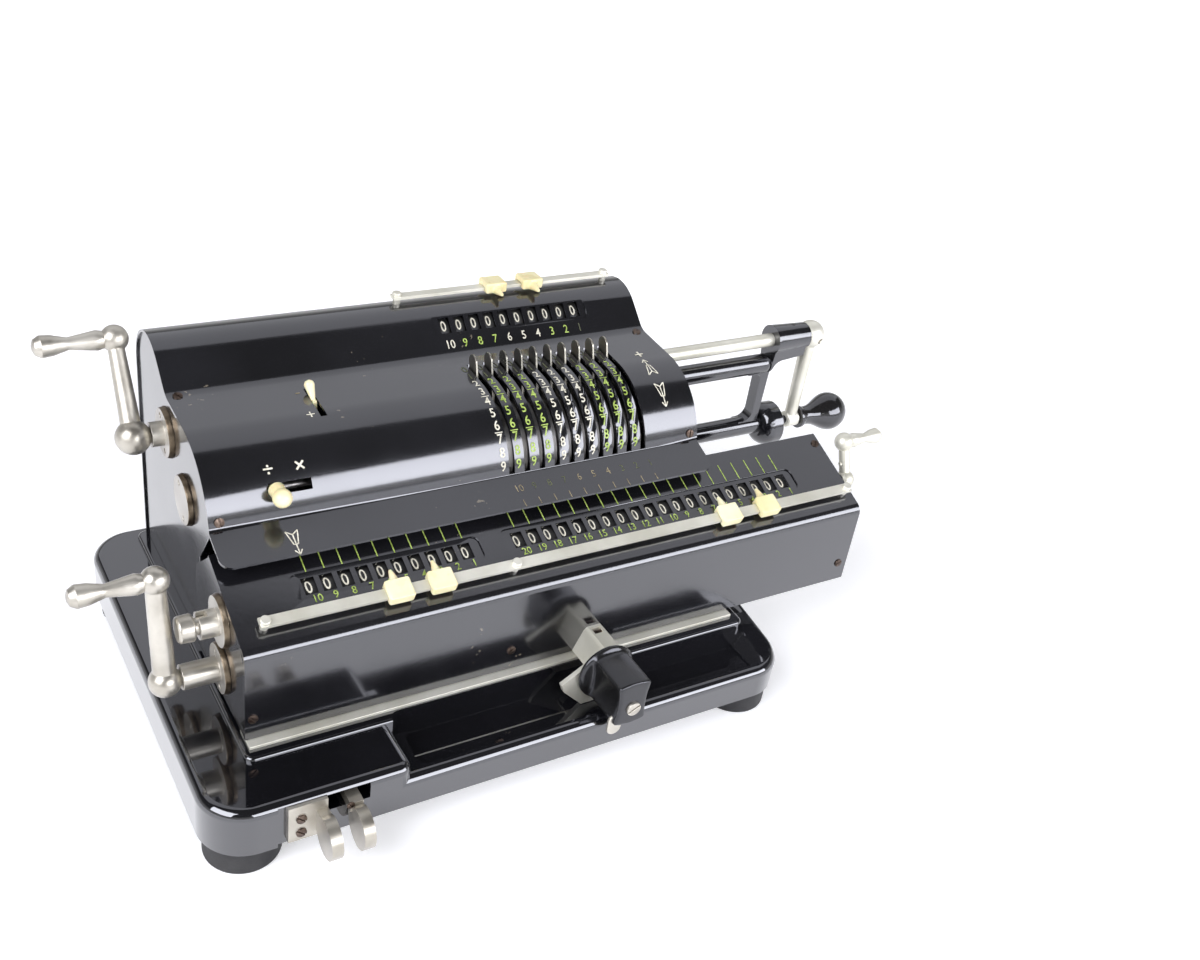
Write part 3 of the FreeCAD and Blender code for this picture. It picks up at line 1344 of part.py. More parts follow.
def make_pinch_lever():
    """Sliding block with the second finger tab, held in the notch."""
    x = pinch_x + pinch_spacing
    arm = block(x - 0.8, x + pinch_disc_wall, base_front - 4.5, base_front + notch_depth - 2,
                notch_floor + air, notch_top - 2.7)
    return arm.fuse(pinch_tab(x))


save("pinch_bracket", make_pinch_bracket())
save("pinch_lever", make_pinch_lever())
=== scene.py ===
import json
import math
import bmesh
import bpy
from mathutils import Matrix, Vector
from mathutils.bvhtree import BVHTree


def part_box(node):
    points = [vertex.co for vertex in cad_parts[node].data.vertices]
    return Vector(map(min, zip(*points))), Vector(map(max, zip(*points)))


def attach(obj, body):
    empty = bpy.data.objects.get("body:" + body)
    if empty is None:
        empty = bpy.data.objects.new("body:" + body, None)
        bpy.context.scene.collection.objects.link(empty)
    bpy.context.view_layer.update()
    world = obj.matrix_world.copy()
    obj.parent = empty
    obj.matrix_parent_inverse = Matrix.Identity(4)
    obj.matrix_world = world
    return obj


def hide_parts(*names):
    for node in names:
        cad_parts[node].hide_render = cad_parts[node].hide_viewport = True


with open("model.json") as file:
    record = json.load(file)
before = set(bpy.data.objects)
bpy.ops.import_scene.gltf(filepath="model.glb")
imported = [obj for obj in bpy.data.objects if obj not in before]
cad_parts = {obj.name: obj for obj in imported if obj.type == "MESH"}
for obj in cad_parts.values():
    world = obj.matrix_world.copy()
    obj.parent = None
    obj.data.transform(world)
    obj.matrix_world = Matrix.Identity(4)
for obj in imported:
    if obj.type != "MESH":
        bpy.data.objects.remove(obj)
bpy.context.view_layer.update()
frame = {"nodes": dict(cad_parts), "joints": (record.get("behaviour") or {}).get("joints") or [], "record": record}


# ---------------------------------------------------------------- studio
# A pale floor and white surround with soft boxes overhead, in front and at the left.
# The camera looks down on the machine from its front left corner.
studio = bpy.context.scene
studio.view_settings.view_transform = "Standard"

lens = bpy.data.cameras.new("camera")
lens.lens = 39.44
lens.sensor_width = 36.0
lens.clip_start = 0.01
camera = bpy.data.objects.new("camera", lens)
camera.location = (-0.27493, -0.41969, 0.40881)
camera.rotation_euler = [math.radians(turn) for turn in (57.703, -7.821, -30.611)]
studio.collection.objects.link(camera)
studio.camera = camera

lamp_target = Vector((0.0, 0.0, 0.1))


def soft_box(name, place, width, height, power):
    """Rectangular lamp at a place, turned towards the machine."""
    light = bpy.data.lights.new(name, "AREA")
    light.shape = "RECTANGLE"
    light.size = width
    light.size_y = height
    light.energy = power
    light.color = (0.93, 0.94, 1.0)
    lamp = bpy.data.objects.new(name, light)
    lamp.location = place
    lamp.rotation_euler = (lamp_target - Vector(place)).to_track_quat("-Z", "Y").to_euler()
    studio.collection.objects.link(lamp)


soft_box("overhead_box", (0.40, 1.05, 1.60), 3.4, 1.9, 15.5)
soft_box("front_box", (0.75, -1.55, 0.72), 2.0, 0.84, 34.0)
soft_box("left_box", (-1.20, -0.45, 1.00), 1.1, 1.1, 26.0)


def worked_out(tree, operation, *values):
    """Socket with the result of one piece of arithmetic on other sockets."""
    step = tree.nodes.new("ShaderNodeMath")
    step.operation = operation
    for index, value in enumerate(values):
        tree.links.new(value, step.inputs[index])
    return step.outputs[0]


def fading(tree, value, start, end, first, last):
    """Socket that goes from a first to a last level while a value goes from start to end."""
    fade = tree.nodes.new("ShaderNodeMapRange")
    fade.inputs["From Min"].default_value = start
    fade.inputs["From Max"].default_value = end
    fade.inputs["To Min"].default_value = first
    fade.inputs["To Max"].default_value = last
    tree.links.new(value, fade.inputs["Value"])
    return fade.outputs["Result"]


def shown_rays(tree):
    """Light path node, and a socket that is 1 for rays from the camera or through glass."""
    path = tree.nodes.new("ShaderNodeLightPath")
    either = worked_out(tree, "MAXIMUM", path.outputs["Is Camera Ray"], path.outputs["Is Transmission Ray"])
    return path, either


def as_mesh(name, shape):
    """Mesh made from a bmesh, which is then freed."""
    mesh = bpy.data.meshes.new(name)
    shape.to_mesh(mesh)
    shape.free()
    return mesh


surround = bpy.data.worlds.new("surround")
surround.use_nodes = True
studio.world = surround
sky = surround.node_tree
back = sky.nodes["Background"]
direction = sky.nodes.new("ShaderNodeTexCoord")
split = sky.nodes.new("ShaderNodeSeparateXYZ")
sky.links.new(direction.outputs["Generated"], split.inputs[0])
tone = sky.nodes.new("ShaderNodeMix")
tone.data_type = "FLOAT"
sky.links.new(shown_rays(sky)[1], tone.inputs["Factor"])
sky.links.new(fading(sky, split.outputs["Z"], 0.05, 0.45, 0.80, 0.07), tone.inputs["A"])
tone.inputs["B"].default_value = 1.0
sky.links.new(tone.outputs["Result"], back.inputs["Strength"])
back.inputs["Color"].default_value = (1.0, 1.0, 1.0, 1.0)

floor_shape = bmesh.new()
bmesh.ops.create_circle(floor_shape, cap_ends=True, segments=64, radius=4.0)
floor_mesh = as_mesh("floor", floor_shape)
floor = bpy.data.objects.new("floor", floor_mesh)
studio.collection.objects.link(floor)
paper = bpy.data.materials.new("white_paper")
paper.use_nodes = True
sheet = paper.node_tree
matt = sheet.nodes["Principled BSDF"]
matt.inputs["Base Color"].default_value = (0.88, 0.88, 0.89, 1.0)
matt.inputs["Roughness"].default_value = 0.9
matt.inputs["Specular IOR Level"].default_value = 0.0
spot = sheet.nodes.new("ShaderNodeTexCoord")
reach = sheet.nodes.new("ShaderNodeVectorMath")
reach.operation = "LENGTH"
sheet.links.new(spot.outputs["Object"], reach.inputs[0])

# The paper's own glow grows with the distance from the machine, but in reflections it fades.
path, seen = shown_rays(sheet)
shown = fading(sheet, reach.outputs["Value"], 0.28, 0.66, 0.36, 1.0)
shown_glow = worked_out(sheet, "MULTIPLY", seen, shown)
mirrored = fading(sheet, reach.outputs["Value"], 0.45, 0.95, 0.38, 0.02)
glow = worked_out(sheet, "MULTIPLY_ADD", path.outputs["Is Glossy Ray"], mirrored, shown_glow)
sheet.links.new(glow, matt.inputs["Emission Strength"])
matt.inputs["Emission Color"].default_value = (1.0, 1.0, 1.0, 1.0)
floor_mesh.materials.append(paper)


# ---------------------------------------------------------------- base
# The base is one heavy casting under thick gloss black enamel, with soft rounded edges.
# It stands on four round rubber feet.
def cloud(tree, place, scale, detail):
    """Socket with noise over the object."""
    noise = tree.nodes.new("ShaderNodeTexNoise")
    noise.inputs["Scale"].default_value = scale
    noise.inputs["Detail"].default_value = detail
    tree.links.new(place.outputs["Object"], noise.inputs["Vector"])
    return noise.outputs["Fac"]


def finish(name, dark, pale, tone_scale, rough, rough_scale, bump, bump_scale, metal=0.0, coat=0.0,
           coat_rough=0.04, shine=0.5):
    """Material whose tone, gloss and fine relief all vary over the surface."""
    made = bpy.data.materials.new(name)
    made.use_nodes = True
    tree = made.node_tree
    shader = tree.nodes["Principled BSDF"]
    shader.inputs["Metallic"].default_value = metal
    shader.inputs["Coat Weight"].default_value = coat
    shader.inputs["Coat Roughness"].default_value = coat_rough
    shader.inputs["Coat IOR"].default_value = 1.65
    shader.inputs["Specular IOR Level"].default_value = shine
    shader.inputs["Specular Tint"].default_value = (0.92, 0.93, 1.0, 1.0)
    place = tree.nodes.new("ShaderNodeTexCoord")

    ramp = tree.nodes.new("ShaderNodeValToRGB")
    ramp.name = "tone"
    ramp.color_ramp.elements[0].position = 0.36
    ramp.color_ramp.elements[0].color = (*dark, 1.0)
    ramp.color_ramp.elements[1].position = 0.64
    ramp.color_ramp.elements[1].color = (*pale, 1.0)
    tree.links.new(cloud(tree, place, tone_scale, 5.0), ramp.inputs["Fac"])
    tree.links.new(ramp.outputs["Color"], shader.inputs["Base Color"])

    gloss = fading(tree, cloud(tree, place, rough_scale, 4.0), 0.3, 0.7, rough[0], rough[1])
    tree.links.new(gloss, shader.inputs["Roughness"])

    relief = tree.nodes.new("ShaderNodeBump")
    relief.inputs["Strength"].default_value = bump
    relief.inputs["Distance"].default_value = 0.0002
    tree.links.new(cloud(tree, place, bump_scale, 3.0), relief.inputs["Height"])
    tree.links.new(relief.outputs["Normal"], shader.inputs["Normal"])
    return made


def make_piece(name, shape, material, body, smooth=40.0):
    """Turns a bmesh into a smooth-shaded piece that rides on a body."""
    mesh = as_mesh(name, shape)
    for face in mesh.polygons:
        face.use_smooth = True
    mesh.set_sharp_from_angle(angle=math.radians(smooth))
    mesh.materials.append(material)
    piece = bpy.data.objects.new(name, mesh)
    studio.collection.objects.link(piece)
    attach(piece, body)
    return piece


def sharp_edges(shape, angle):
    """Edges whose two faces meet at more than an angle in degrees."""
    return [edge for edge in shape.edges
            if edge.is_manifold and edge.calc_face_angle() > math.radians(angle)]


def ease(shape, edges, width, steps):
    """Rounds edges of a shape."""
    bmesh.ops.bevel(shape, geom=edges, offset=width, affect="EDGES", segments=steps, profile=0.5,
                    material=-1, clamp_overlap=True)


body_of = {node: body for body, nodes in frame["record"]["behaviour"]["bodies"].items() for node in nodes}
joined_distance = 2e-6
flat_angle = 0.4


def dressed(node, material, edge=0.0, steps=2, angle=30.0):
    """The node's own shape with its flats joined, its sharp edges eased and evenly shaded."""
    shape = bmesh.new()
    shape.from_mesh(frame["nodes"][node].data)
    bmesh.ops.remove_doubles(shape, verts=shape.verts, dist=joined_distance)
    bmesh.ops.dissolve_limit(shape, angle_limit=math.radians(flat_angle), verts=shape.verts,
                             edges=shape.edges)
    if edge > 0:
        ease(shape, sharp_edges(shape, angle), edge, steps)
    piece = make_piece(node + "_dressed", shape, material, body_of[node])
    even = piece.modifiers.new("even_shading", "WEIGHTED_NORMAL")
    even.keep_sharp = True
    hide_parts(node)
    return piece


gloss_enamel = finish("gloss_enamel", (0.004, 0.004, 0.005), (0.008, 0.008, 0.010), 9.0,
                      (0.04, 0.08), 30.0, 0.04, 160.0, coat=1.0, coat_rough=0.03, shine=0.9)
dressed("base_casting", gloss_enamel, 0.0012, 3, 35.0)

foot_rubber = finish("foot_rubber", (0.012, 0.012, 0.012), (0.030, 0.029, 0.028), 60.0,
                     (0.55, 0.75), 90.0, 0.5, 900.0)
dressed("rubber_feet", foot_rubber, 0.0006)


# ---------------------------------------------------------------- guide rail
# A flat strip on the raised pad guides the carriage's foot.
# It is steel with a dull nickel plate.
pale_nickel = finish("pale_nickel", (0.70, 0.68, 0.57), (0.88, 0.86, 0.76), 40.0,
                     (0.36, 0.50), 90.0, 0.12, 700.0, metal=0.60)
dressed("guide_rail", pale_nickel, 0.0002)


# ---------------------------------------------------------------- body shell
# Two enamelled end plates stand on the base, joined by bars, with the rotor between them.
# The covers are bent sheet, stove enamelled black, with small chips.
def flecked(made, fleck, fleck_scale, share):
    """Adds small chips of another colour, gathered in patches."""
    tree = made.node_tree
    place = tree.nodes.new("ShaderNodeTexCoord")
    fine = cloud(tree, place, fleck_scale, 2.0)
    wide = cloud(tree, place, fleck_scale / 14.0, 2.0)
    both = worked_out(tree, "MULTIPLY", fine, wide)
    blend = tree.nodes.new("ShaderNodeMix")
    blend.data_type = "RGBA"
    blend.inputs["B"].default_value = (*fleck, 1.0)
    tree.links.new(fading(tree, both, share, share + 0.015, 0.0, 1.0), blend.inputs["Factor"])
    tree.links.new(tree.nodes["tone"].outputs["Color"], blend.inputs["A"])
    tree.links.new(blend.outputs["Result"], tree.nodes["Principled BSDF"].inputs["Base Color"])
    return made


black_enamel = flecked(finish("stove_enamel", (0.005, 0.005, 0.006), (0.010, 0.010, 0.012), 14.0,
                              (0.12, 0.20), 40.0, 0.10, 420.0, coat=0.8, coat_rough=0.10, shine=0.9),
                       (0.14, 0.12, 0.09), 420.0, 0.48)
dressed("side_plate_left", black_enamel, 0.0003)
dressed("side_plate_right", black_enamel, 0.0003)

plain_steel = finish("plain_steel", (0.20, 0.19, 0.18), (0.38, 0.37, 0.36), 80.0,
                     (0.30, 0.50), 200.0, 0.2, 900.0, metal=1.0)
dressed("cross_bars", plain_steel)
dressed("rotor", plain_steel)
dressed("idler_gear", plain_steel)
dressed("front_cover", black_enamel)
dressed("rear_cover", black_enamel)


# ---------------------------------------------------------------- cover screws
# Browned screws with a saw-cut slot hold the covers to the plates beneath.
# One stands near each end of the trough and of the drum's foot.
browned_steel = finish("browned_steel", (0.07, 0.05, 0.04), (0.20, 0.15, 0.12), 300.0,
                       (0.28, 0.45), 500.0, 0.2, 1500.0, metal=1.0)


def everything(shape):
    """All the corners, edges and faces of a shape."""
    return shape.verts[:] + shape.edges[:] + shape.faces[:]


def screw_head(radius):
    """Low head with a saw-cut slot, as a mesh that stands on the origin."""
    slot_half = radius * 0.13
    height = radius * 0.30
    head = bmesh.new()
    bmesh.ops.create_circle(head, cap_ends=True, segments=32, radius=radius)
    bmesh.ops.bisect_plane(head, geom=everything(head), plane_co=(slot_half, 0.0, 0.0),
                           plane_no=(1.0, 0.0, 0.0), clear_inner=True)
    grown = bmesh.ops.extrude_face_region(head, geom=head.faces[:])["geom"]
    top = [item for item in grown if isinstance(item, bmesh.types.BMVert)]
    bmesh.ops.translate(head, verts=top, vec=(0.0, 0.0, height))
    ease(head, [item for item in grown if isinstance(item, bmesh.types.BMEdge)], radius * 0.12, 2)
    bmesh.ops.mirror(head, geom=everything(head), axis="X", merge_dist=0.0)
    bmesh.ops.create_circle(head, cap_ends=True, segments=32, radius=radius * 0.97,
                            matrix=Matrix.Translation((0.0, 0.0, radius * 0.06)))
    bmesh.ops.recalc_face_normals(head, faces=head.faces)
    return as_mesh("screw_head", head)


def standing(place, out):
    """Matrix that stands at a place and points along a direction."""
    return Matrix.Translation(place) @ out.to_track_quat("Z", "Y").to_matrix().to_4x4()


def seat_on(node, start, aim, turn=0.0):
    """Matrix that stands on a node's surface, where a line from a start along an aim meets it."""
    shape = bmesh.new()
    shape.from_mesh(frame["nodes"][node].data)
    tree = BVHTree.FromBMesh(shape)
    shape.free()
    place, normal, _, _ = tree.ray_cast(Vector(start), Vector(aim).normalized())
    return standing(place, normal) @ Matrix.Rotation(math.radians(turn), 4, "Z")


def fitted(name, template, seats, material, body):
    """One piece made of a copy of a mesh on each seat."""
    shape = bmesh.new()
    for seat in seats:
        first = len(shape.verts)
        shape.from_mesh(template)
        shape.verts.ensure_lookup_table()
        bmesh.ops.transform(shape, matrix=seat, verts=shape.verts[first:])
    piece = make_piece(name, shape, material, body)
    return piece


down = (0, 0, -1)
backward = (0, 1, 0)
small_head = screw_head(0.0020)
shell_low, shell_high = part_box("front_cover")
trough_y = 0.0485
above_cover = 0.2
foot_y = -0.035
foot_z = 0.122
foot_aim = (0.0, 0.6, -0.29)
fitted("trough_screws", small_head,
       [seat_on("rear_cover", (shell_low.x + 0.0045, trough_y, above_cover), down, 35.0),
        seat_on("rear_cover", (shell_high.x - 0.0045, trough_y, above_cover), down, -40.0)],
       browned_steel, "frame")
fitted("foot_screws", small_head,
       [seat_on("front_cover", (shell_low.x + 0.0042, foot_y, foot_z), foot_aim, 10.0),
        seat_on("front_cover", (shell_high.x - 0.0042, foot_y, foot_z), foot_aim, -12.0)],
       browned_steel, "frame")


# ---------------------------------------------------------------- setting levers
# Ten thin nickel fingers stand in curved slots, each on a ring that turns on the rotor's hub.
# They are stamped from sheet, so outside the ring the finger is thinned from its right side.
nickel = finish("worn_nickel", (0.42, 0.39, 0.33), (0.66, 0.63, 0.56), 45.0,
                (0.28, 0.46), 90.0, 0.15, 700.0, metal=0.85)
dark_nickel = finish("dark_nickel", (0.30, 0.29, 0.25), (0.52, 0.49, 0.42), 45.0,
                     (0.24, 0.36), 90.0, 0.15, 700.0, metal=1.0)
joints = {joint["name"]: joint for joint in frame["joints"]}
drum = Vector(joints["rotor_turn"]["pos_m"])
finger_foot_radius = 0.036
finger_share = 0.52
for place in range(1, 11):
    lever = dressed("setting_lever_%02d" % place, dark_nickel, 0.00025)
    left_face = min(vert.co.x for vert in lever.data.vertices)
    for vert in lever.data.vertices:
        if (vert.co - drum).yz.length > finger_foot_radius:
            vert.co.x = left_face + finger_share * (vert.co.x - left_face)


# ---------------------------------------------------------------- check dials
# Each lever turns a black dial behind a window.
# Pale digits 0 to 9 are printed round it.
wheel_black = finish("wheel_black", (0.012, 0.012, 0.012), (0.030, 0.029, 0.027), 120.0,
                     (0.30, 0.42), 200.0, 0.1, 900.0)


def paint(name, dark, pale, grain):
    """Dull paint whose tone varies in small grains."""
    return finish(name, dark, pale, grain, (0.45, 0.60), 400.0, 0.2, 1500.0)


cream_paint = paint("cream_paint", (0.56, 0.53, 0.42), (0.84, 0.81, 0.68), 700.0)
letter_share = 0.7


def write(shape, words, height, narrow, to_surface, weight=0.0):
    """Adds letters to a mesh, laid on a surface by a function of across and up."""
    curve = bpy.data.curves.new("words", "FONT")
    curve.body = words
    curve.size = height / letter_share
    curve.offset = weight
    curve.align_x = "CENTER"
    curve.align_y = "CENTER"
    curve.resolution_u = 3
    text = bpy.data.objects.new("words", curve)
    flat = bpy.data.meshes.new_from_object(text)
    first = len(shape.verts)
    shape.from_mesh(flat)
    shape.verts.ensure_lookup_table()
    for vert in shape.verts[first:]:
        vert.co = to_surface(vert.co.x * narrow, vert.co.y)
    bpy.data.objects.remove(text)
    bpy.data.curves.remove(curve)
    bpy.data.meshes.remove(flat)


def around(x, centre, radius, turn):
    """Point on a drum about an X-parallel axis."""
    return Vector((x, centre.y + radius * math.cos(turn), centre.z + radius * math.sin(turn)))


def round_drum(x, centre, radius, angle):
    """Places letters on a drum about an X-parallel axis, upright for someone in front."""
    def to_surface(across, up):
        return around(x + across, centre, radius, math.radians(angle) - up / radius)
    return to_surface


digit_turn = 36.0
wheel_paint = 0.00006
dial_radius = 0.011
dial_window = 132.0
for place in range(1, 11):
    dressed("check_dial_%02d" % place, wheel_black)
    axis = Vector(joints["dial_turn_%02d" % place]["pos_m"])
    digits = bmesh.new()
    for digit in range(10):
        write(digits, str(digit), 0.0050, 0.78,
              round_drum(axis.x, axis, dial_radius + wheel_paint, dial_window + digit_turn * digit), 0.00005)
    make_piece("dial_digits_%02d" % place, digits, cream_paint, "dial_%02d" % place)


# ---------------------------------------------------------------- painted marks on the covers
# Digits 0 to 9 run down the drum beside each slot, and the places are numbered 1 to 10 above.
# Groups of three places are told apart by cream and green paint, worn thin beside the levers.
paints = {"cream_marks": cream_paint,
          "green_marks": paint("green_paint", (0.24, 0.33, 0.05), (0.46, 0.60, 0.15), 700.0),
          "gold_marks": paint("gold_paint", (0.16, 0.13, 0.08), (0.34, 0.28, 0.17), 600.0),
          "faded_marks": paint("faded_paint", (0.05, 0.055, 0.035), (0.13, 0.14, 0.07), 900.0)}
marks = {name: bmesh.new() for name in paints}
drum_radius = 0.0342
cover_paint = 0.00012
zero_angle = 71.9
digit_step = 10.08
cream_places = (4, 5, 6, 10)


def stroke(shape, start, end, width, to_surface):
    """Adds a straight painted line from one point of the marked surface to another."""
    grid = bmesh.ops.create_grid(shape, x_segments=4, y_segments=1, size=0.5)
    start = Vector(start)
    along = Vector(end) - start
    beside = Vector((-along.y, along.x)).normalized() * width
    for vert in grid["verts"]:
        spot = start + along * (vert.co.x + 0.5) + beside * vert.co.y
        vert.co = to_surface(spot.x, spot.y)


arrow_line = 0.00052
arrow_lines = (("tip", "left_barb"), ("tip", "right_barb"), ("tip", "neck"), ("left_root", "right_root"),
               ("left_root", "left_end"), ("right_root", "right_end"), ("left_end", "notch"),
               ("right_end", "notch"), ("neck", "notch"))


def arrow(shape, length, sense, to_surface):
    """Adds an outlined arrow with a flared feather, pointing up or down the surface."""
    half = length / 2
    barb = half - 0.0022
    corners = {"tip": (0, half), "left_barb": (-0.0015, barb), "right_barb": (0.0015, barb),
               "neck": (0, 0.0008), "left_root": (-0.0009, 0.0008), "right_root": (0.0009, 0.0008),
               "left_end": (-0.0025, -half), "right_end": (0.0025, -half), "notch": (0, 0.0019 - half)}
    at = {name: (x, y * sense) for name, (x, y) in corners.items()}
    for start, end in arrow_lines:
        stroke(shape, at[start], at[end], arrow_line, to_surface)


def on_slope(x, centre, rise):
    """Places letters on a flat that rises towards the back."""
    turn = math.radians(rise)
    along = Vector((0.0, math.cos(turn), math.sin(turn)))

    def to_surface(across, up):
        return Vector((x + across, centre[0], centre[1])) + along * up
    return to_surface


flat_start = (0.02521, 0.132653)
flat_rise = 3.0


def on_drum(x, angle):
    """Places marks on the front cover's drum, or on the flat behind its top."""
    y = drum.y + drum_radius * math.cos(math.radians(angle))
    if y > flat_start[0]:
        z = flat_start[1] + (y - flat_start[0]) * math.tan(math.radians(flat_rise))
        return on_slope(x, (y, z + cover_paint), flat_rise)
    return round_drum(x, drum, drum_radius + cover_paint, angle)


climb_rise = 41.0
climb_centre = (0.05425, 0.13748)
tick_half = 0.0018
tick_width = 0.0004
for place in range(1, 11):
    lever_x = Vector(joints["lever_turn_%02d" % place]["pos_m"]).x
    colour = "cream_marks" if place in cream_places else "green_marks"
    x = lever_x - 0.00415
    for digit in range(10):
        write(marks["faded_marks" if digit < 2 else colour], str(digit), 0.0043, 0.86,
              on_drum(x, zero_angle + digit * digit_step), 0.00007)
    for gap in (3.5, 6.5):
        stroke(marks[colour], (-tick_half, 0), (tick_half, 0), tick_width,
               on_drum(x, zero_angle + gap * digit_step))
    write(marks["faded_marks" if place == 1 else colour], str(place), 0.0040, 0.85,
          on_slope(lever_x - 0.0035, climb_centre, climb_rise), 0.00003)

sign_low, sign_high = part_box("sign_lever")
sign_x = (sign_low.x + sign_high.x) / 2
write(marks["gold_marks"], "-", 0.0050, 1.1, on_slope(sign_x - 0.0048, (0.0390, 0.13346), flat_rise))
write(marks["cream_marks"], "+", 0.0050, 1.0, on_drum(sign_x - 0.0050, 98.6), 0.00003)

# The division sign is drawn as a bar with a dot above and below.
divide_x = -0.1316
for part, turn in (("−", 135.6), ("·", 133.6), ("·", 138.4)):
    write(marks["cream_marks"], part, 0.0056, 1.0, on_drum(divide_x, turn), 0.00004)
write(marks["cream_marks"], "×", 0.0060, 1.0, on_drum(-0.1188, 136.6), 0.00006)

arrows_x = 0.0556
write(marks["cream_marks"], "+", 0.0062, 1.0, on_drum(arrows_x + 0.0008, 86.5), 0.00012)
arrow(marks["cream_marks"], 0.0105, 1, on_drum(arrows_x, 102.7))
arrow(marks["cream_marks"], 0.0118, -1, on_drum(arrows_x, 129.9))

visor_rise = 18.8
visor_turn = math.radians(visor_rise)
fold = around(0.0, drum, drum_radius, math.radians(170.7))
visor_down = Vector((0.0, -math.cos(visor_turn), -math.sin(visor_turn)))
visor_out = Vector((0.0, -math.sin(visor_turn), math.cos(visor_turn)))
visor_paint = 0.00006


def on_visor(x, reach):
    """Places marks on the visor, at a distance down from the fold."""
    foot = fold + visor_down * reach + visor_out * visor_paint
    return on_slope(x, (foot.y, foot.z), visor_rise)


arrow(marks["cream_marks"], 0.0116, -1, on_visor(-0.1273, 0.0116))
for place in range(1, 11):
    x = joints["lever_turn_%02d" % place]["pos_m"][0]
    write(marks["gold_marks" if place in cream_places else "faded_marks"], str(place), 0.0036, 0.85,
          on_visor(x + 0.0001, 0.0074))
    stroke(marks["gold_marks"], (0, -tick_half), (0, tick_half), tick_width, on_visor(x - 0.0007, 0.0152))
for name, colour in paints.items():
    make_piece(name, marks[name], colour, "frame")


# ---------------------------------------------------------------- keys on the drum
# Two small keys with tips of ivory-coloured resin: one rocks between plus and minus.
# The other slides, and its ball hangs a little on a short neck.
ivory = finish("aged_ivory", (0.84, 0.74, 0.40), (0.95, 0.89, 0.60), 60.0,
               (0.24, 0.38), 120.0, 0.10, 500.0, coat=0.2)
ivory_shader = ivory.node_tree.nodes["Principled BSDF"]
ivory_shader.inputs["Subsurface Weight"].default_value = 0.12
ivory_shader.inputs["Subsurface Scale"].default_value = 0.002
dressed("sign_lever", ivory, 0.0002)

key_ball_start = 0.0355
key_droop = Vector((0.0, -0.00175, -0.0029))
mode_key = dressed("mode_lever", ivory)
for vert in mode_key.data.vertices:
    if (vert.co - drum).yz.length > key_ball_start:
        vert.co += key_droop

key_turn = math.radians(149.0)
key_low, key_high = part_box("mode_lever")
key_x = (key_low.x + key_high.x) / 2
neck_foot = around(key_x, drum, 0.0350, key_turn)
neck_end = around(key_x, drum, 0.0412, key_turn) + key_droop
neck_way = neck_end - neck_foot
neck = bmesh.new()
bmesh.ops.create_cone(neck, cap_ends=True, segments=40, radius1=0.0034, radius2=0.0028,
                      depth=neck_way.length)
ease(neck, sharp_edges(neck, 57.0), 0.0003, 3)
bmesh.ops.transform(neck, matrix=standing((neck_foot + neck_end) / 2, neck_way), verts=neck.verts)
make_piece("mode_key_neck", neck, ivory, body_of["mode_lever"])


# ---------------------------------------------------------------- left flanges and upper crank
# Turned nickel flanges carry the shafts, and their rims have gone brown.
# The upper crank is a nickel arm with a turned grip.
bronzed_rim = finish("bronzed_rim", (0.12, 0.09, 0.06), (0.26, 0.21, 0.15), 200.0,
                     (0.30, 0.45), 300.0, 0.2, 1200.0, metal=1.0)


def flange(node, joint):
    """A dressed flange about a joint's axis, with its turned rim browned."""
    piece = dressed(node, nickel, 0.0003)
    piece.data.materials.append(bronzed_rim)
    axis = Vector(joints[joint]["pos_m"])
    reach = {face.index: (face.center - axis).yz.length for face in piece.data.polygons}
    rim = max(reach.values()) * 0.9
    for face in piece.data.polygons:
        if abs(face.normal.x) < 0.6 and reach[face.index] > rim:
            face.material_index = 1


flange("rotor_bearing_flange", "rotor_turn")
flange("upper_crank_flange", "upper_crank_turn")
dressed("upper_clearing_crank", nickel, 0.0003)


# ---------------------------------------------------------------- main crank
# A cast black bracket carries the long nickel shaft; the crank ends in a pear-shaped handle.
# A taper pin holds the crank's ball on the shaft, and a thin dark disc on the boss is painted shade standing for
# its oil hole.
dressed("crank_bracket", black_enamel, 0.0006)
dressed("crank_shaft", pale_nickel)
dressed("crank_arm", pale_nickel, 0.0003)
black_resin = finish("black_resin", (0.006, 0.006, 0.006), (0.012, 0.011, 0.011), 20.0,
                     (0.06, 0.14), 60.0, 0.06, 300.0, coat=0.6, shine=0.8)
dressed("crank_handle", black_resin, 0.0003)


def pin_end(radius, height):
    """End of a round pin, slightly domed, as a mesh that stands on the origin."""
    pin = bmesh.new()
    bmesh.ops.create_cone(pin, cap_ends=True, segments=24, radius1=radius, radius2=radius, depth=height * 2)
    ease(pin, [edge for edge in pin.edges if all(vert.co.z > 0 for vert in edge.verts)],
         min(radius, height) * 0.45, 3)
    return as_mesh("pin_end", pin)


taper_pin_seat = seat_on("crank_arm", (0.18036, 0.02788, 0.11729), (-0.265, 0.941, 0.204))
fitted("crank_taper_pin_seat", pin_end(0.0015, 0.0002), [taper_pin_seat],
       bronzed_rim, body_of["crank_arm"])
fitted("crank_taper_pin", pin_end(0.0011, 0.0005), [taper_pin_seat],
       pale_nickel, body_of["crank_arm"])
# The oil hole is not cut: a thin dark disc on the boss is painted shade for the inside of the hole.
fitted("boss_oil_hole_painted_shade", pin_end(0.0010, 0.00006),
       [seat_on("crank_bracket", (0.1625, 0.04425, 0.16), down)], wheel_black, "frame")


# ---------------------------------------------------------------- carriage
# Steel end plates carry two rows of number wheels under a bent black cover with windows.
# Browned screws hold the cover to the plates.
dressed("carriage_frame", black_enamel, 0.0003)
dressed("carriage_cover", black_enamel)
before_front = -0.09
front_screw_z = 0.0485
front_seats = [seat_on("carriage_cover", (x, before_front, front_screw_z), backward, turn)
               for x, turn in ((-0.1562, 40.0), (-0.0449, -50.0), (0.1364, -60.0))]
top_seat = seat_on("carriage_cover", (0.1388, -0.0155, 0.16), down, -30.0)
fitted("carriage_screws", small_head, front_seats + [top_seat], browned_steel, "carriage")

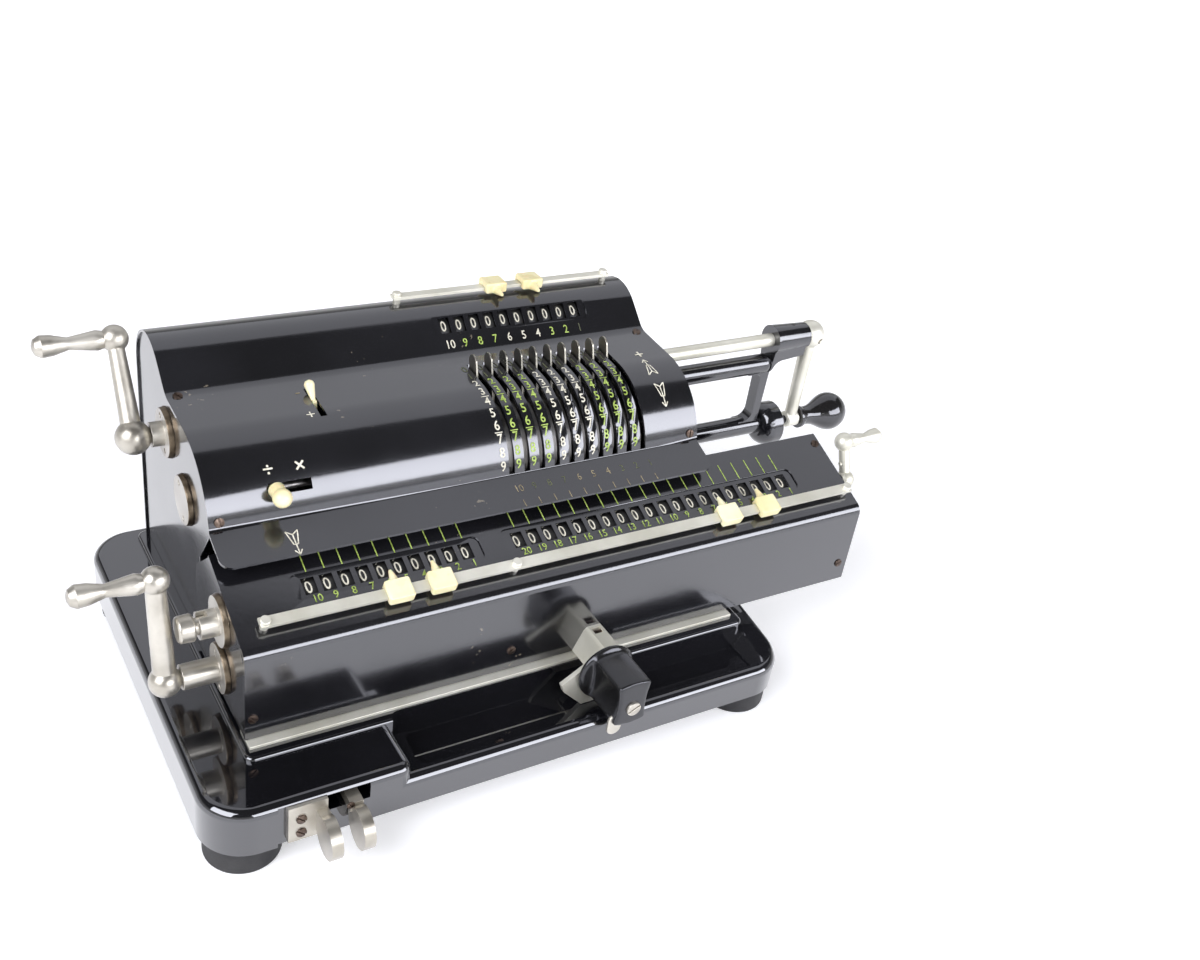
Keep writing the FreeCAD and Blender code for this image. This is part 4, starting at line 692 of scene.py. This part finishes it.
place_pitch = 0.0075
wheel_radius = 0.0105
wheel_window = 111.5
for register, joint_name, first_x, count in (
        ("result", "result_turn", 0.10800, 20), ("counter", "counter_turn", -0.05870, 10)):
    dressed(register + "_wheels", wheel_black)
    axis = Vector(joints[joint_name]["pos_m"])
    digits = bmesh.new()
    for place in range(count):
        for digit in range(10):
            write(digits, str(digit), 0.0056, 0.74,
                  round_drum(first_x - place * place_pitch, axis, wheel_radius + wheel_paint,
                             wheel_window + digit_turn * digit), 0.00005)
    make_piece(register + "_digits", digits, cream_paint, register)

slope_rise = 21.5
shoulder = (-0.0534, 0.0796)


def on_carriage(x, level):
    """Places marks on the carriage's sloping top, at a level distance behind its front."""
    rise = level * math.tan(math.radians(slope_rise))
    return on_slope(x, (shoulder[0] + level - 0.00003, shoulder[1] + rise + 0.00008), slope_rise)


line_half = 0.0047
carriage_marks = bmesh.new()
for first_x, count in ((0.10845, 20), (-0.0586, 10)):
    for place in range(count):
        x = first_x - place * place_pitch
        write(carriage_marks, str(place + 1), 0.0034, 0.90, on_carriage(x + 0.0011, 0.0165), 0.00004)
        stroke(carriage_marks, (0, -line_half), (0, line_half), 0.0005, on_carriage(x + 0.0004, 0.0327))
make_piece("carriage_marks", carriage_marks, paints["green_marks"], "carriage")


# ---------------------------------------------------------------- marker rails
# Ivory-coloured markers slide on flat nickel bars and show the decimal point.
# Round-headed posts carry the bars.
dressed("carriage_marker_rail", pale_nickel, 0.0002)
dressed("top_marker_rail", pale_nickel, 0.0002)


def moulded(node, material, grain, passes):
    """A dressed piece with every edge softly rounded, as if it came from a mould."""
    piece = dressed(node, material)
    piece.modifiers.clear()
    even = piece.modifiers.new("even_skin", "REMESH")
    even.mode = "VOXEL"
    even.voxel_size = grain
    even.use_smooth_shade = True
    soft = piece.modifiers.new("soft_edges", "SMOOTH")
    soft.factor = 0.5
    soft.iterations = passes


for node in ["carriage_marker_%d" % place for place in range(1, 5)] + ["top_marker_1", "top_marker_2"]:
    moulded(node, ivory, 0.0003, 10)


def post_seat(x, foot, lean, height):
    """Matrix on top of a rail's post that leans towards the front."""
    out = Vector((0.0, -math.sin(math.radians(lean)), math.cos(math.radians(lean))))
    return standing(Vector((x, foot[0], foot[1])) + out * height, out)


post_top = pin_end(0.0021, 0.0011)
carriage_foot = (-0.0433, 0.083578)
fitted("carriage_post_heads", post_top,
       [post_seat(x, carriage_foot, slope_rise, 0.0047) for x in (-0.1486, -0.0421, 0.1370)],
       pale_nickel, "carriage")
top_foot = (0.0775, 0.148604)
fitted("top_post_heads", post_top, [post_seat(x, top_foot, 0.0, 0.0050) for x in (-0.0471, 0.0615)],
       pale_nickel, "frame")


# ---------------------------------------------------------------- clearing cranks on the carriage
# The left crank clears the counter through a gear pair, and the right one the result wheels.
# Both are nickel arms with turned grips; a pin holds the right one on its shaft.
flange("left_crank_flange", "left_crank_turn")
flange("stop_sleeve", "stop_turn")
dressed("left_clearing_crank", nickel, 0.0003)
dressed("stop_knob", nickel, 0.0003)
dressed("right_clearing_crank", pale_nickel, 0.0003)
fitted("right_crank_pin", pin_end(0.0010, 0.0006),
       [seat_on("right_clearing_crank", (0.140, -0.0231, 0.0846), (1, 0, 0))],
       pale_nickel, body_of["right_clearing_crank"])


# ---------------------------------------------------------------- shift knob
# A black knob on the carriage's front moves it sideways, held by a large slotted screw.
# A browned roller runs in the yoke, and a nickel tongue hangs below the knob.
dressed("shift_bracket", pale_nickel, 0.0003)
worn_resin = finish("worn_resin", (0.006, 0.006, 0.006), (0.014, 0.013, 0.013), 20.0,
                    (0.20, 0.28), 60.0, 0.04, 300.0, shine=0.8)
moulded("shift_knob", worn_resin, 0.0005, 40)
fitted("shift_knob_screw", screw_head(0.0033),
       [seat_on("shift_knob", (-0.0069, -0.14, 0.0374), backward, -62.0)], nickel, "shift")


def laid(place, axis):
    """Matrix at a place, turned a quarter about an axis."""
    return Matrix.Translation(place) @ Matrix.Rotation(math.pi / 2, 4, axis)


roller_radius = 0.00198
roller = bmesh.new()
bmesh.ops.create_cone(roller, cap_ends=True, segments=32, radius1=roller_radius, radius2=roller_radius,
                      depth=0.0044)
ease(roller, sharp_edges(roller, 57.0), 0.0003, 2)
bmesh.ops.transform(roller, matrix=laid((-0.0043, -0.0569, 0.0477), "Y"), verts=roller.verts)
make_piece("yoke_roller", roller, browned_steel, "carriage")

tongue = bmesh.new()
bmesh.ops.create_circle(tongue, cap_ends=True, segments=40, radius=0.0034)
for vert in tongue.verts:
    if vert.co.y > 0.0001:
        vert.co.y += 0.0040
bmesh.ops.solidify(tongue, geom=tongue.faces[:], thickness=0.0016)
ease(tongue, sharp_edges(tongue, 57.0), 0.0005, 3)
bmesh.ops.transform(tongue, matrix=laid((-0.0130, -0.0922, 0.0261), "X"), verts=tongue.verts)
bmesh.ops.recalc_face_normals(tongue, faces=tongue.faces)
make_piece("shift_tongue", tongue, nickel, "shift")


# ---------------------------------------------------------------- pinch lever
# Two round nickel finger tabs at the base's front, one fixed and one sliding.
# Slotted screws hold the plate and the sliding tab's block.
dressed("pinch_bracket", nickel, 0.0005)
dressed("pinch_lever", nickel, 0.0005)
fitted("pinch_plate_screws", screw_head(0.0021),
       [seat_on("pinch_bracket", (-0.1490, -0.14, height), backward, 50.0) for height in (0.0253, 0.0182)],
       browned_steel, body_of["pinch_bracket"])
fitted("pinch_block_screw", screw_head(0.0016),
       [seat_on("pinch_lever", (-0.1520, -0.1395, 0.0842), (0.438, 1.0, -1.156), 40.0)],
       browned_steel, body_of["pinch_lever"])
